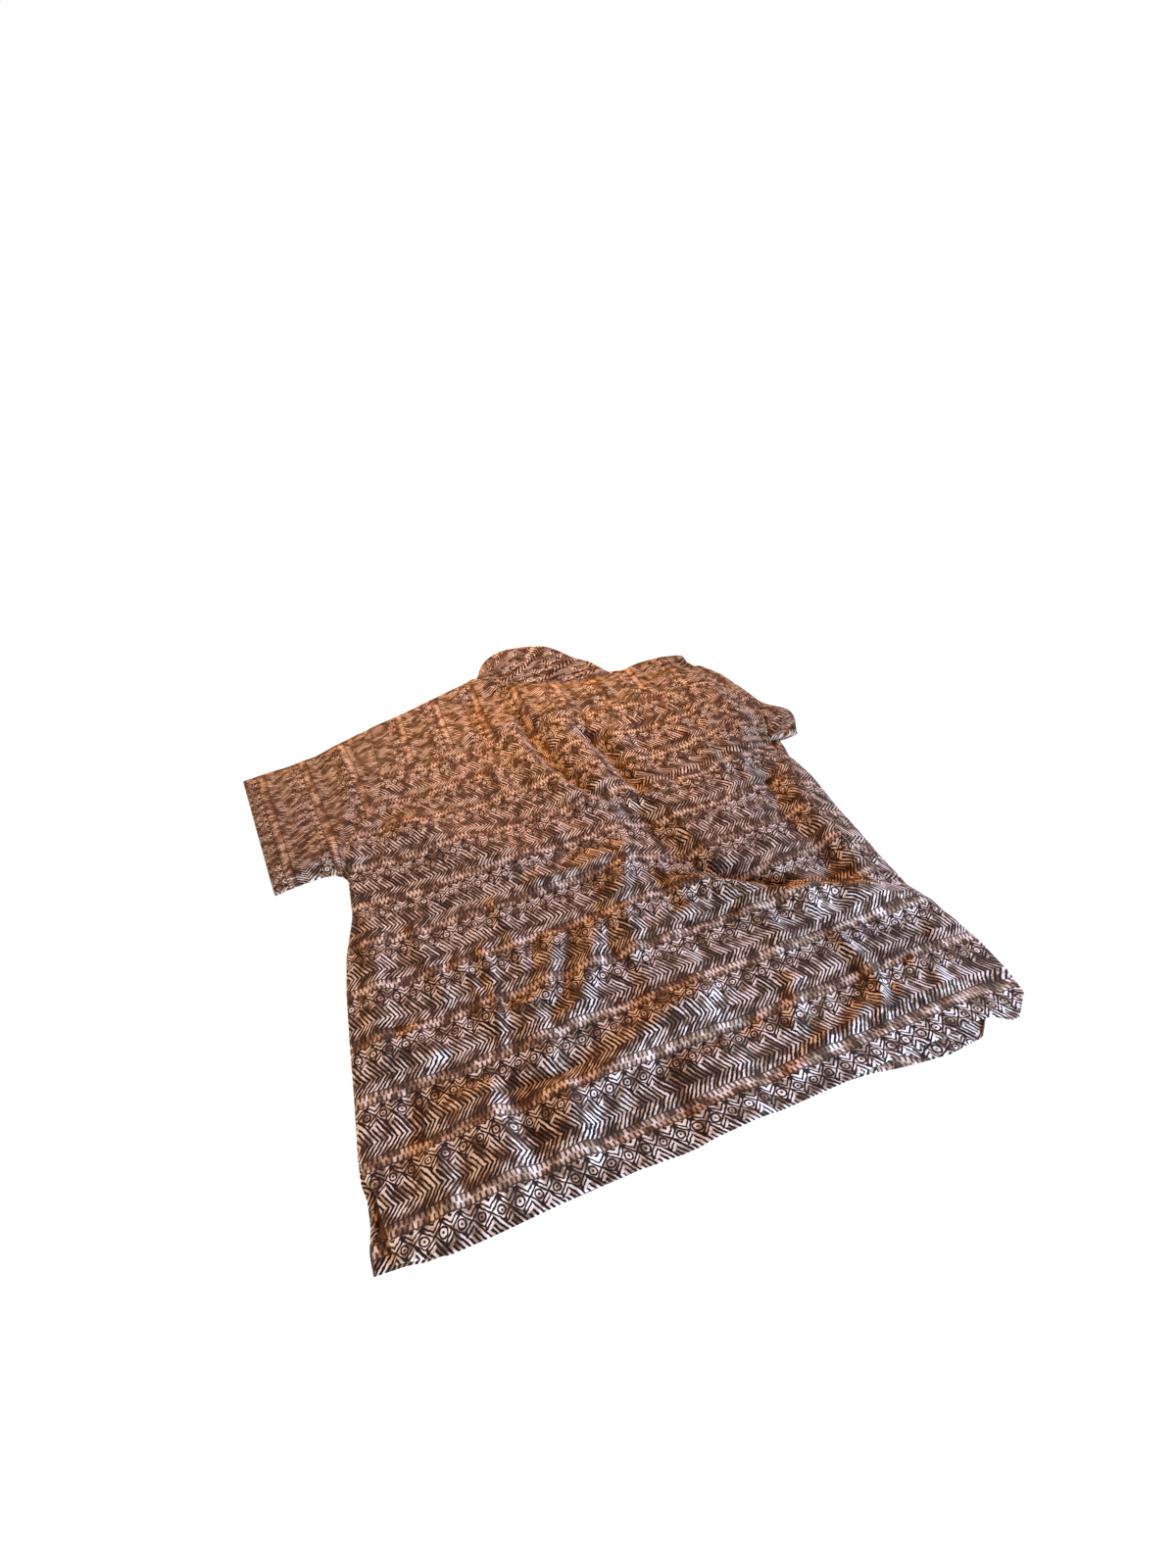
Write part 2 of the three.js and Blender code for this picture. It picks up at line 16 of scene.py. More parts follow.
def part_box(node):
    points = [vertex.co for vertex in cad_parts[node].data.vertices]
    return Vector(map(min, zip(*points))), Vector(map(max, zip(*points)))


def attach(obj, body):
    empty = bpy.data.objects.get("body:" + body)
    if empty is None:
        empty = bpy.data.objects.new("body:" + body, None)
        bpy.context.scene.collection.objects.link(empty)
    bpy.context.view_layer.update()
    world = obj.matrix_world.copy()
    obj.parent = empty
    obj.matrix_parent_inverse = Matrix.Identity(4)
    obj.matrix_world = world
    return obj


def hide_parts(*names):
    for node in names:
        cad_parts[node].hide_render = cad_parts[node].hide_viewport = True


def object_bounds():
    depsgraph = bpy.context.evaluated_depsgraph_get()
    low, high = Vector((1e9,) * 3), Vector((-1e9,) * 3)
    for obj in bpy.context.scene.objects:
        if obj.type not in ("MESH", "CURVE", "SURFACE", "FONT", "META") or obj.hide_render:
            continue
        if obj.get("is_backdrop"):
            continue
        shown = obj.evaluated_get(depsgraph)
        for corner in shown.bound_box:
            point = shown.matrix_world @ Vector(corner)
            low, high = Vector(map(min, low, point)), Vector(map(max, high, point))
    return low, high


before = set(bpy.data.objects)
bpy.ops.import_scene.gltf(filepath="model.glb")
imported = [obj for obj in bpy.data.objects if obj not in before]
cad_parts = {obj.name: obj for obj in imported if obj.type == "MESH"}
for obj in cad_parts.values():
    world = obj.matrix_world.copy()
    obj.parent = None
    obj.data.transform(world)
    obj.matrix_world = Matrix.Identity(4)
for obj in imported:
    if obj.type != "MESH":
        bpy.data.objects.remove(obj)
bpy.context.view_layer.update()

# -------------------------------------------
# Camera: a wide lens held low over the hem, looking down along the shirt to the neck and turned a
# little to one side.
CAMERA_PLACE = Vector((-0.136, -0.602, 0.618))
CAMERA_AIM = Vector((0.060, 0.080, 0.0))
CAMERA_ROLL = math.radians(6.33)
CAMERA_LENS = 16.875  # mm, on a sensor 36 mm wide


def put(name, data):
    """A new object in the scene, made of a mesh, a light or a camera."""
    made = bpy.data.objects.new(name, data)
    bpy.context.scene.collection.objects.link(made)
    return made


camera = put("camera", bpy.data.cameras.new("camera"))
camera.data.sensor_width = 36
camera.data.lens = CAMERA_LENS
camera.data.clip_start = 0.01
bpy.context.scene.camera = camera
ahead = (CAMERA_AIM - CAMERA_PLACE).normalized()
level = ahead.cross(Vector((0, 0, 1))).normalized()
upright = level.cross(ahead)
up = upright * math.cos(CAMERA_ROLL) + level * math.sin(CAMERA_ROLL)
side = ahead.cross(up)
turn = Matrix((side, up, -ahead)).transposed().to_4x4()
camera.matrix_world = Matrix.Translation(CAMERA_PLACE) @ turn

# -------------------------------------------
# Back: one panel of printed cotton from the hem to the yoke seam, lying over both fronts. Its
# folds are pressed in as ridges and troughs; the raised right half lies over the sleeve that is
# folded under.
MM = 0.001
REPEAT = 15.5  # one diamond of the print, across the cloth
BAND = 3.676  # rows of diamonds repeat at this many diamond widths
HEM_ROW = -365.8  # the lowest row of diamonds runs along the hem here
STROKE = 0.28  # from one stroke or tick to the next, in diamonds
CLOTH = 0.8  # thickness of the cloth as drawn
REST = CLOTH / 2  # middle of a cloth that lies on the surface
LAYER = 1.8  # from one layer lying on another to the next

# The plan's zero, taken from the top button, which lies on the centre front.
TOP_BUTTON = (56.2, 196.0)
button_low, button_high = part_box("button_1")
ZERO_X = (button_low.x + button_high.x) / 2 / MM - TOP_BUTTON[0]
ZERO_Y = (button_low.y + button_high.y) / 2 / MM - TOP_BUTTON[1]

# Edges of the body in plan, as (y, x) down the sides and (x, y) across.
LEFT_EDGE = [(-384, -257), (-360, -259), (-319, -265), (-301, -273), (-283, -275), (-227, -272),
             (-176, -270), (-119, -267), (-72, -262), (-20, -250), (38, -248), (70, -246),
             (91, -241), (118, -225), (146, -208), (177, -190), (223, -186), (325, -187)]
SIDE_SEAM = [(-386, 300), (-372, 321), (-345, 325), (-306, 325), (-276, 320), (-246, 309),
             (-222, 291), (-195, 282), (-171, 281), (-110, 278), (-60, 285), (-22, 296), (20, 298),
             (50, 303), (68, 313), (98, 324), (152, 320), (211, 309), (260, 286)]
HEM = [(-275, -371), (-258, -372), (-239, -376), (-218, -381), (-188, -381), (-107, -378),
       (-74, -378), (-25, -381), (38, -380), (122, -379), (162, -377), (193, -376),
       (222, -377), (255, -374), (278, -377), (292, -386), (304, -386), (325, -372)]
YOKE_SEAM = [(-200, 223), (-60, 220), (60, 211), (150, 200), (340, 186)]
SHOULDER = [(-187, 327), (-170, 330), (-120, 343), (-91, 353), (-50, 363), (-22, 370), (6, 349),
            (40, 328), (75, 312), (112, 301), (148, 291), (186, 284), (220, 289), (251, 284),
            (280, 280), (297, 271), (306, 258), (316, 238)]


def across(table, at):
    """Value of a two-column table at a place, straight between its rows."""
    places, values = zip(*table)
    return np.interp(at, places, values)


def ease(t):
    t = np.clip(t, 0, 1)
    return t * t * (3 - 2 * t)


def mix(a, b, t):
    return a + (b - a) * t


# Folds of the back and yoke. A positive height is a ridge, a negative one a trough. 'away' is its
# width on the side that faces the neck and the left sleeve, 'near' on the side towards the hem's
# right corner.
FOLDS = [
    # height, away, near, points
    (11, 26, 12, [(-4, 270), (2, 215), (6, 165), (13, 120), (25, 84), (42, 56), (66, 32), (90, 8)]),
    (-10, 11, 10, [(20, 262), (25, 205), (30, 150), (38, 95), (50, 54), (75, 29), (99, 2)]),
    (-11, 15, 11, [(88, 22), (102, -5), (110, -35), (115, -70), (121, -105), (130, -128)]),
    (3.5, 10, 11, [(60, 250), (62, 200), (68, 150), (78, 105), (88, 60), (102, 34)]),
    (-12, 9, 9, [(74, 172), (93, 145), (102, 112), (107, 60), (118, 12)]),
    (-2.5, 6, 6, [(133, 125), (143, 95), (148, 55), (162, -8)]),
    (3, 18, 30, [(116, 205), (122, 150), (128, 96)]),
    (-14, 13, 9, [(94, -78), (108, -104), (124, -124), (144, -140), (165, -156), (184, -174),
                  (208, -198)]),
    (14, 9, 17, [(84, -118), (104, -132), (128, -150), (152, -164), (176, -184), (200, -202),
                 (226, -214)]),
    (7, 12, 18, [(166, -178), (196, -198), (236, -214), (272, -226), (330, -250)]),
    (-7.5, 40, 16, [(276, 40), (264, 0), (260, -60), (258, -110), (257, -160), (260, -222)]),
    (-5, 26, 18, [(276, -150), (256, -182), (236, -200)]),
    (-4, 14, 14, [(232, -246), (258, -262), (296, -276)]),
    (4, 22, 12, [(136, -172), (150, -200), (154, -232), (160, -250)]),
    (5, 8, 5, [(203, -236), (206, -262), (209, -290), (207, -313), (198, -329), (188, -345),
               (181, -362)]),
    (3.5, 10, 7, [(80, -362), (108, -352), (128, -345), (146, -333)]),
    (3, 9, 7, [(144, -348), (168, -336), (192, -322)]),
    (3, 10, 9, [(108, -330), (122, -308), (133, -290), (143, -268)]),
    (3, 8, 8, [(246, -300), (262, -322), (256, -345)]),
    (3, 8, 7, [(216, -322), (232, -338), (240, -354)]),
    (5.5, 17, 15, [(-104, -354), (-97, -324), (-80, -306), (-55, -295), (-28, -283), (2, -270),
                   (30, -266), (64, -256), (96, -246)]),
    (-3, 8, 8, [(-10, -300), (40, -301), (96, -297)]),
    (4, 16, 9, [(-66, -58), (-25, -62), (25, -62), (52, -52)]),
    (5.5, 12, 8, [(60, -40), (53, -70), (42, -92), (33, -112), (27, -128)]),
    (5, 12, 13, [(84, -112), (88, -140), (86, -172)]),
    (5, 12, 10, [(23, -128), (20, -160), (10, -204)]),
    (6, 9, 12, [(2, -126), (-17, -155), (-28, -176), (-43, -199), (-60, -224), (-92, -238)]),
    (4.5, 11, 12, [(-50, -128), (-64, -158), (-78, -188), (-90, -216)]),
    (5.5, 22, 9, [(-103, -190), (-100, -222), (-98, -250), (-92, -278)]),
    (3.5, 5, 6, [(-131, -112), (-128, -150), (-131, -195), (-138, -242)]),
    (11, 40, 9, [(-158, -256), (-157, -308), (-154, -332), (-156, -378)]),
    (8, 32, 10, [(-98, -280), (-97, -322), (-100, -370)]),
    (6, 8, 16, [(-238, -4), (-241, -50), (-240, -100), (-243, -140), (-246, -190), (-243, -238)]),
    (5, 16, 9, [(-214, -180), (-205, -205), (-190, -228)]),
    (5, 14, 8, [(-214, -290), (-210, -335), (-211, -376)]),
    (-3, 8, 8, [(-232, -238), (-226, -270), (-217, -312)]),
    (4, 18, 13, [(-50, 194), (-38, 117), (-19, 55), (2, 2), (18, -40)]),
    (6, 36, 24, [(-202, 117), (-140, 63), (-78, 1), (-16, -46)]),
    (3, 8, 10, [(204, 164), (210, 55), (220, -54)]),
    (2.5, 8, 8, [(238, 164), (241, 55), (244, -69)]),
    (3, 7, 7, [(-230, 334), (-218, 241)]),
    (2.5, 7, 7, [(-184, 330), (-174, 225)]),
    (3, 8, 8, [(-112, 334), (-100, 241), (-92, 180)]),
    (3, 7, 7, [(-70, 350), (-56, 225)]),
    (3, 8, 8, [(-22, 365), (-13, 257), (-20, 190)]),
    (3, 7, 7, [(-158, -116), (-146, -162), (-134, -224)]),
    (3, 8, 8, [(-193, -54), (-183, -116), (-171, -178)]),
    (3, 8, 8, [(-103, -54), (-97, -116), (-91, -178)]),
]
TOWARDS_NEAR = np.array((0.8, -0.6))  # the way that a fold's near side faces
FOLD_DEPTH = 1.35  # the folds are pressed this much deeper than the table says
AIR = 4.0  # the back lies this far above the fronts where nothing lifts it


def between(a, b, c, d, t):
    """Point on the smooth curve from b to c, with a before them and d after."""
    return 0.5 * (2 * b + (c - a) * t + (2 * a - 5 * b + 4 * c - d) * t**2
                  + (3 * b - a - 3 * c + d) * t**3)


def curve_through(points, step=3.0):
    """Points at even steps along a smooth curve through the given ones."""
    p = np.array([points[0], *points, points[-1]], float)
    out = []
    for a, b, c, d in zip(p, p[1:], p[2:], p[3:]):
        t = np.linspace(0, 1, max(2, int(np.hypot(*(c - b)) / step)), endpoint=False)[:, None]
        out.append(between(a, b, c, d, t))
    return np.concatenate([*out, p[-1:]])


def folds_at(x, y, folds):
    """Sum of the folds' heights at arrays of plan points."""
    flat = np.stack([x.ravel(), y.ravel()], 1)
    rise = np.zeros(len(flat))
    for height, away, near, points in folds:
        line = curve_through(points)
        reach = 2.6 * max(away, near)
        close = np.all((flat > line.min(0) - reach) & (flat < line.max(0) + reach), axis=1)
        where = flat[close]
        gap = where[:, None, :] - line[None, :, :]
        square = (gap**2).sum(2)
        nearest = square.argmin(1)
        pick = np.arange(len(where))
        facing = (gap[pick, nearest] * TOWARDS_NEAR).sum(1) / np.sqrt(square[pick, nearest] + 1)
        width = mix(away, near, ease(facing * 0.9 + 0.5))
        along = nearest / (len(line) - 1)
        ends = ease(along / 0.22) * ease((1 - along) / 0.22)
        rise[close] += height * ends * np.exp(-square[pick, nearest] / width**2)
    return rise.reshape(x.shape)


def rumple(x, y, across_mm, along_mm, lean, seed):
    """Soft random wrinkles, from -1 to 1, drawn out along a direction that leans from +Y."""
    c, s = math.cos(lean), math.sin(lean)
    a = (x * c + y * s) / across_mm
    b = (y * c - x * s) / along_mm
    values = [noise.noise((p, q, seed)) for p, q in zip(a.ravel(), b.ravel())]
    return np.array(values).reshape(x.shape)


# Small wrinkles of the back and of its hem: height, width, length, lean and seed.
WRINKLES = [(1.3, 26, 80, 0.16, 3.0), (0.9, 13, 32, 0.3, 8.0)]
HEM_WRINKLES = [(1.2, 30, 80, -1.25, 5.0), (0.8, 12, 28, 0.8, 11.0)]


def wrinkled(x, y, wrinkles):
    return sum(height * rumple(x, y, *shape) for height, *shape in wrinkles)


# The right sleeve lies folded under this outline, so that the body lies higher there.
TUCKED = [(300, 246), (172, 192), (246, 4), (318, 46)]
TUCKED_RISE = 4.8  # thickness of the folded sleeve
STAND_RISE = 2.8  # the button stand is held up this far by the buttons


def over_tucked(x, y):
    """1 over the tucked sleeve, falling to 0 at 32 mm outside it."""
    inside = np.full(x.shape, np.inf)
    for (ax, ay), (bx, by) in zip(TUCKED, TUCKED[1:] + TUCKED[:1]):
        length = math.hypot(bx - ax, by - ay)
        inside = np.minimum(inside, ((bx - ax) * (y - ay) - (by - ay) * (x - ax)) / length)
    return ease((inside + 32) / 26)


# The right half is lifted. It climbs from a long trench beside the middle of the back, given as
# (y, x), and drops in a bank above the hem, given as (x, y).
TRENCH = [(-215, 218), (-195, 190), (-175, 165), (-155, 142), (-140, 120), (-110, 102),
          (-70, 94), (-30, 88), (0, 82), (20, 68), (50, 50), (90, 38), (140, 30), (190, 26),
          (240, 18), (300, 10)]
BANK = [(100, -140), (140, -172), (165, -178), (188, -203), (212, -216), (240, -226),
        (272, -238), (325, -256)]
LIFT = 13  # height of the lifted half over the rest


def lifted(x, y):
    """Height of the lifted half: a slope 25 mm wide from the trench, and 30 mm at the bank."""
    climb = LIFT * ease((x - across(TRENCH, y)) / 25)
    return climb * ease((y - across(BANK, x)) / 30 + 0.5)


def centre_front(y):
    """X of the centre front, which slants from the hem to the neck."""
    return mix(26, 58, np.clip((y + 380) / 610, 0, 1))


def lying_height(x, y):
    """Underside of the fronts: over the buttons and over the tucked sleeve."""
    beside = (np.abs(x - centre_front(y)) - 13) / 26
    stand = STAND_RISE * (1 - ease(beside)) * (1 - ease((y - 215) / 20))
    return np.maximum(stand, TUCKED_RISE * over_tucked(x, y))


def stand_step(x, y):
    """The right front lies on the left one along the button stand."""
    d = x - centre_front(y)
    return LAYER * ease((d + 40) / 14) * (1 - ease((d - 26) / 14))


# Heights of the top layer along the left side, the right side and the shoulders.
LEFT_HEIGHT = [(-384, 5), (-345, 6), (-315, 5), (-280, 4.5), (-150, 5), (0, 6), (40, 8),
               (66, 12), (90, 11), (150, 8), (250, 7), (323, 5)]
RIGHT_HEIGHT = [(-386, 3), (-300, 4), (-262, 7), (-215, 15), (-150, 21), (-80, 21), (-20, 17),
                (30, 13), (70, 14), (260, 14)]
SHOULDER_HEIGHT = [(-187, 5), (-91, 8), (-22, 14), (60, 16), (150, 15), (186, 16), (253, 23),
                   (312, 17)]
HEM_FOLD = 22.0  # the hems are turned up by this much
OVER = 0.9  # from one cloth to the next where they are pressed together
SIDE_ROUND = 5.0  # radius of the roll along the left side seam
ARMHOLE = 48  # the left armhole ends here
NECK_RISE = 3.5  # the yoke climbs this much towards the collar
PRESSED = 0.5  # least air under a trough, which can't go through the fronts


def rounded(distance, radius):
    """How far an edge of this radius has dropped at a distance in from it, from 1 to 0."""
    t = np.clip(distance / radius, 0, 1)
    return 1 - np.sqrt(t * (2 - t))


def top_height(x, y):
    """Middle of the top layer, back or yoke, over the plan."""
    from_left = x - across(LEFT_EDGE, y)
    from_hem = y - across(HEM, x)
    to_seam = across(SIDE_SEAM, y) - x
    to_shoulder = across(SHOULDER, x) - y
    in_hem = 1 - ease((from_hem - HEM_FOLD) / 6)
    lying = lying_height(x, y) + stand_step(x, y) + REST + OVER * (1 + 2 * in_hem)
    low = ease((-190 - y) / 120)
    rise = AIR + lifted(x, y) + FOLD_DEPTH * folds_at(x, y, FOLDS)
    rise = rise + mix(wrinkled(x, y, WRINKLES), wrinkled(x, y, HEM_WRINKLES), 0.7 * low)
    pressed = PRESSED * np.exp(np.minimum(rise - PRESSED, 0))
    # The hem holds the cloth down to a quarter of its rise.
    z = lying + np.where(rise > PRESSED, rise, pressed) * mix(0.25, 1, ease(from_hem / 40))
    z = z + NECK_RISE * ease((y - 196) / 45) * ease((x + 40) / 20) * ease((200 - x) / 20)
    # Towards the sides and the shoulders it comes to their own heights.
    left_height = np.maximum(across(LEFT_HEIGHT, y), lying)
    z = mix(left_height, z, ease(from_left / 46))
    z = mix(np.maximum(across(RIGHT_HEIGHT, y), lying), z, ease(to_seam / 40))
    z = mix(across(SHOULDER_HEIGHT, x), z, ease(to_shoulder / 46))
    closed = 1 - ease((y - ARMHOLE) / 14)
    z = z - rounded(from_left, SIDE_ROUND) * (left_height - REST) * 0.55 * closed
    yoke_dip = 0.7 * np.exp(-((y - across(YOKE_SEAM, x)) / 2.5) ** 2)
    armhole_dip = 0.8 * (1 - closed) * np.exp(-((from_left / 2.5) ** 2))
    return z - yoke_dip - armhole_dip


FITS = 6  # rounds that fit a grid between edges that aren't straight


def plan_grid(rows, columns, left, right, low, high):
    """Rows from 'low' to 'high' and columns from 'left' to 'right', fitted between four edges."""
    s, t = np.meshgrid(np.linspace(0, 1, columns), np.linspace(0, 1, rows))
    y = np.zeros_like(s)
    for _ in range(FITS):
        x = mix(across(left, y), across(right, y), s)
        y = mix(across(low, x), across(high, x), t)
    return x, y


def travelled(points, axis):
    """Length of cloth from the first row or column, along the mesh."""
    steps = np.linalg.norm(np.diff(points, axis=axis), axis=2)
    start = np.zeros_like(np.take(steps, [0], axis=axis))
    return np.cumsum(np.concatenate([start, steps], axis=axis), axis=axis)


def smoothed(grid, reach=8):
    """A grid averaged with its neighbours, so that the print is not torn over the folds."""
    share = np.ones(2 * reach + 1) / (2 * reach + 1)

    def slid(line):
        return np.convolve(np.pad(line, reach, "edge"), share, "valid")

    return np.apply_along_axis(slid, 1, np.apply_along_axis(slid, 0, grid))


def follow(points, at):
    """Points down the columns of a grid at a Y for each column, its rows in order of Y."""
    found = [[np.interp(place, column[:, 1], column[:, k]) for k in (0, 2)]
             for place, column in zip(at, points.transpose(1, 0, 2))]
    x, z = np.array(found).T
    return np.stack([x, at, z], 1)


def four_corners(index):
    """The corners of each face of a grid of numbered points."""
    corners = index[:-1, :-1], index[:-1, 1:], index[1:, 1:], index[1:, :-1]
    return np.stack([c.ravel() for c in corners], 1)


def cloth_piece(name, points, cloth, materials, tube=False, thickness=CLOTH):
    """A sheet of cloth from a grid of its points in mm, printed side towards columns x rows, with
    its place on the print in 'cloth'. A tube's last row joins its first."""
    rows, columns = points.shape[:2]
    places = (points + (ZERO_X, ZERO_Y, 0)) * MM
    index = np.arange(rows * columns).reshape(rows, columns)
    if tube:
        index = np.concatenate([index, index[:1]])
        cloth = np.concatenate([cloth, cloth[-1:] + (cloth[-1:] - cloth[-2:-1])])
    mesh = bpy.data.meshes.new(name)
    mesh.from_pydata(places.reshape(-1, 3).tolist(), [], four_corners(index).tolist())
    loops = four_corners(np.arange(cloth.shape[0] * cloth.shape[1]).reshape(cloth.shape[:2]))
    layer = mesh.uv_layers.new(name="cloth")
    layer.data.foreach_set("uv", cloth.reshape(-1, 2)[loops.ravel()].astype(np.float32).ravel())
    mesh.shade_smooth()
    for material in materials:
        mesh.materials.append(material)
    piece = put(name, mesh)
    solid = piece.modifiers.new("thickness", "SOLIDIFY")
    solid.thickness = thickness * MM
    solid.offset = 0
    solid.material_offset = 1
    solid.material_offset_rim = 0
    return piece


def srgb(code):
    """Linear colour from an sRGB hex code."""
    parts = [int(code[i:i + 2], 16) / 255 for i in (0, 2, 4)]
    return (*[p / 12.92 if p <= 0.04045 else ((p + 0.055) / 1.055) ** 2.4 for p in parts], 1.0)


def new_material(name):
    """A material and its node tree, still empty."""
    material = bpy.data.materials.new(name)
    material.use_nodes = True
    material.node_tree.nodes.clear()
    return material, material.node_tree


def add(tree, kind, inputs=(), **settings):
    """A shader node with its settings; an input is a number, a colour, a node or a socket. What a
    node works out follows its kind, as in "Math ADD"."""
    kind, _, operation = kind.partition(" ")
    node = tree.nodes.new("ShaderNode" + kind)
    if operation:
        node.operation = operation
    for key, value in settings.items():
        setattr(node, key, value)
    for key, value in inputs.items() if isinstance(inputs, dict) else enumerate(inputs):
        if isinstance(value, bpy.types.Node):
            value = value.outputs[0]
        if isinstance(value, bpy.types.NodeSocket):
            tree.links.new(value, node.inputs[key])
        else:
            node.inputs[key].default_value = value
    return node


FLAT = {"noise_dimensions": "2D"}
THREAD = 0.7  # mm between threads, drawn coarse enough to show close up
DIAMOND_HALF = 0.45  # from a diamond's middle to its top; this and the rest in diamonds
TICKS = 1.04  # middle of the two rows of ticks, above a row of diamonds
TURN = 2.2  # the strokes turn back here
ROW_HALF = 0.38  # half the height of both rows of ticks


def printed_cotton():
    """Plain-woven cotton printed in brown on cream: rows of diamonds with a ringed eye, rows of
    short ticks, and two rows of slanting strokes that meet in a point. Matt, with a little
    sheen. A MapRange's inputs are a value, its two limits, and what these become."""
    material, tree = new_material("printed_cotton")

    # The lines are drawn by hand, so they wander a little, over 19 mm and over 3 mm.
    drawn = cloth = add(tree, "UVMap", uv_map="cloth")
    for scale, detail, reach in ((0.8, 1.0, (0.22, 0.12, 0)), (5.0, 2.0, (0.085, 0.085, 0))):
        wander = add(tree, "TexNoise", {"Vector": cloth, "Scale": scale, "Detail": detail}, **FLAT)
        off = add(tree, "VectorMath SUBTRACT", (wander.outputs["Color"], (0.5, 0.5, 0.5)))
        drawn = add(tree, "VectorMath MULTIPLY_ADD", (off, reach, drawn))
    u, v = add(tree, "SeparateXYZ", (drawn,)).outputs[:2]

    # Which band, how far above its own row of diamonds, and how far above the nearest row.
    height = add(tree, "Math FLOORED_MODULO", (v, BAND))
    nearest = add(tree, "Math ROUND", (add(tree, "Math DIVIDE", (v, BAND)),))
    above = add(tree, "Math MULTIPLY_ADD", (nearest, -BAND, v))

    # Diamonds: 'edge' is 1 on a diamond's outline and grows outwards. In each is a ringed eye.
    cell = add(tree, "Math ROUND", (u,))
    aside = add(tree, "Math SUBTRACT", (u, cell))
    off_middle = add(tree, "Math ABSOLUTE", (aside,))
    off_row = add(tree, "Math ABSOLUTE", (above,))
    edge_up = add(tree, "Math MULTIPLY", (off_row, 1 / DIAMOND_HALF))
    edge = add(tree, "Math MULTIPLY_ADD", (off_middle, 2.0, edge_up))
    chance = add(tree, "TexWhiteNoise", (add(tree, "CombineXYZ", (cell, nearest)),), **FLAT)
    from_eye = add(tree, "VectorMath LENGTH", (add(tree, "CombineXYZ", (aside, above)),))
    from_eye = from_eye.outputs["Value"]
    ring_size = add(tree, "MapRange", (chance, 0, 1, 0.19, 0.24))
    ring_off = add(tree, "Math ABSOLUTE", (add(tree, "Math SUBTRACT", (from_eye, ring_size)),))
    ring = add(tree, "MapRange", (ring_off, 0.03, 0.06))
    pupil = add(tree, "MapRange", (from_eye, 0.045, 0.075))
    rim = add(tree, "MapRange", (edge, 0.93, 0.8))
    eye = add(tree, "Math MULTIPLY", (add(tree, "Math MULTIPLY", (ring, pupil)), rim))
    eye_level = add(tree, "MapRange", (chance.outputs["Color"], 0, 1, 0.75, 1.0))
    diamond_tone = add(tree, "Math MULTIPLY", (eye, eye_level))

    # Between the diamonds: a line along their edges, and a small blot in the corner.
    nest_off = add(tree, "Math ABSOLUTE", (add(tree, "Math SUBTRACT", (edge, 1.25)),))
    nest_line = add(tree, "MapRange", (nest_off, 0.17, 0.1))
    blot_off = add(tree, "Math ABSOLUTE", (add(tree, "Math SUBTRACT", (edge, 1.85)),))
    blot = add(tree, "MapRange", (blot_off, 0.26, 0.18))
    nest = add(tree, "Math MAXIMUM", (nest_line, blot))
    off_tip = add(tree, "MapRange", (off_middle, 0.08, 0.18, 0.15))
    nest_tone = add(tree, "Math MULTIPLY", (nest, off_tip))

    # Strokes rise from the ticks, turn, and fall back to the next row of diamonds.
    upper = add(tree, "Math GREATER_THAN", (height, TURN))
    slope = add(tree, "Math MULTIPLY_ADD", (upper, -0.3, 0.95))
    from_turn = add(tree, "Math ABSOLUTE", (add(tree, "Math SUBTRACT", (height, TURN)),))
    slant = add(tree, "Math MULTIPLY_ADD", (from_turn, slope, u))
    stroke = add(tree, "Math MULTIPLY", (slant, 1 / STROKE))
    stroke_off = add(tree, "Math SUBTRACT", (add(tree, "Math FRACT", (stroke,)), 0.5))
    stroke_size = add(tree, "Math ABSOLUTE", (stroke_off,))
    stroke_cell = add(tree, "Math FLOOR", (stroke,))
    stroke_at = add(tree, "CombineXYZ", (stroke_cell, nearest, upper))
    stroke_chance = add(tree, "TexWhiteNoise", (stroke_at,))
    stroke_width = add(tree, "MapRange", (stroke_chance, 0, 1, 0.13, 0.28))
    stroke_soft = add(tree, "Math ADD", (stroke_width, 0.07))
    stroke_line = add(tree, "MapRange", (stroke_size, stroke_soft, stroke_width))
    stroke_level = add(tree, "MapRange", (stroke_chance.outputs["Color"], 0.1, 0.5, 0.5, 1.0))
    stroke_tone = add(tree, "Math MULTIPLY", (stroke_line, stroke_level))

    # Two rows of ticks, the upper between the lower, that grow from a pale line.
    tick_row = add(tree, "Math SUBTRACT", (height, TICKS))
    tick_side = add(tree, "Math GREATER_THAN", (tick_row, 0.0))
    tick_shift = add(tree, "Math MULTIPLY", (tick_side, 0.5))
    tick = add(tree, "Math MULTIPLY_ADD", (u, 1 / STROKE, tick_shift))
    tick_off = add(tree, "Math SUBTRACT", (add(tree, "Math FRACT", (tick,)), 0.5))
    tick_size = add(tree, "Math ABSOLUTE", (tick_off,))
    tick_length = add(tree, "Math ABSOLUTE", (tick_row,))
    tick_taper = add(tree, "Math MULTIPLY_ADD", (tick_length, 0.35, tick_size))
    tick_line = add(tree, "MapRange", (tick_taper, 0.44, 0.32))
    tick_end = add(tree, "MapRange", (tick_length, 0.36, 0.28))
    tick_join = add(tree, "MapRange", (tick_length, 0.06, 0.02))
    tick_cell = add(tree, "Math FLOOR", (tick,))
    tick_at = add(tree, "CombineXYZ", (tick_cell, nearest, tick_side))
    tick_chance = add(tree, "TexWhiteNoise", (tick_at,))
    tick_level = add(tree, "MapRange", (tick_chance, 0, 1, 0.6, 1.0))
    tick_shape = add(tree, "Math MULTIPLY", (tick_line, tick_end))
    tick_joined = add(tree, "Math MAXIMUM", (tick_shape, tick_join))
    tick_inked = add(tree, "Math MULTIPLY", (tick_joined, tick_level))
    tick_tone = add(tree, "Math MAXIMUM", (tick_inked, 0.38))

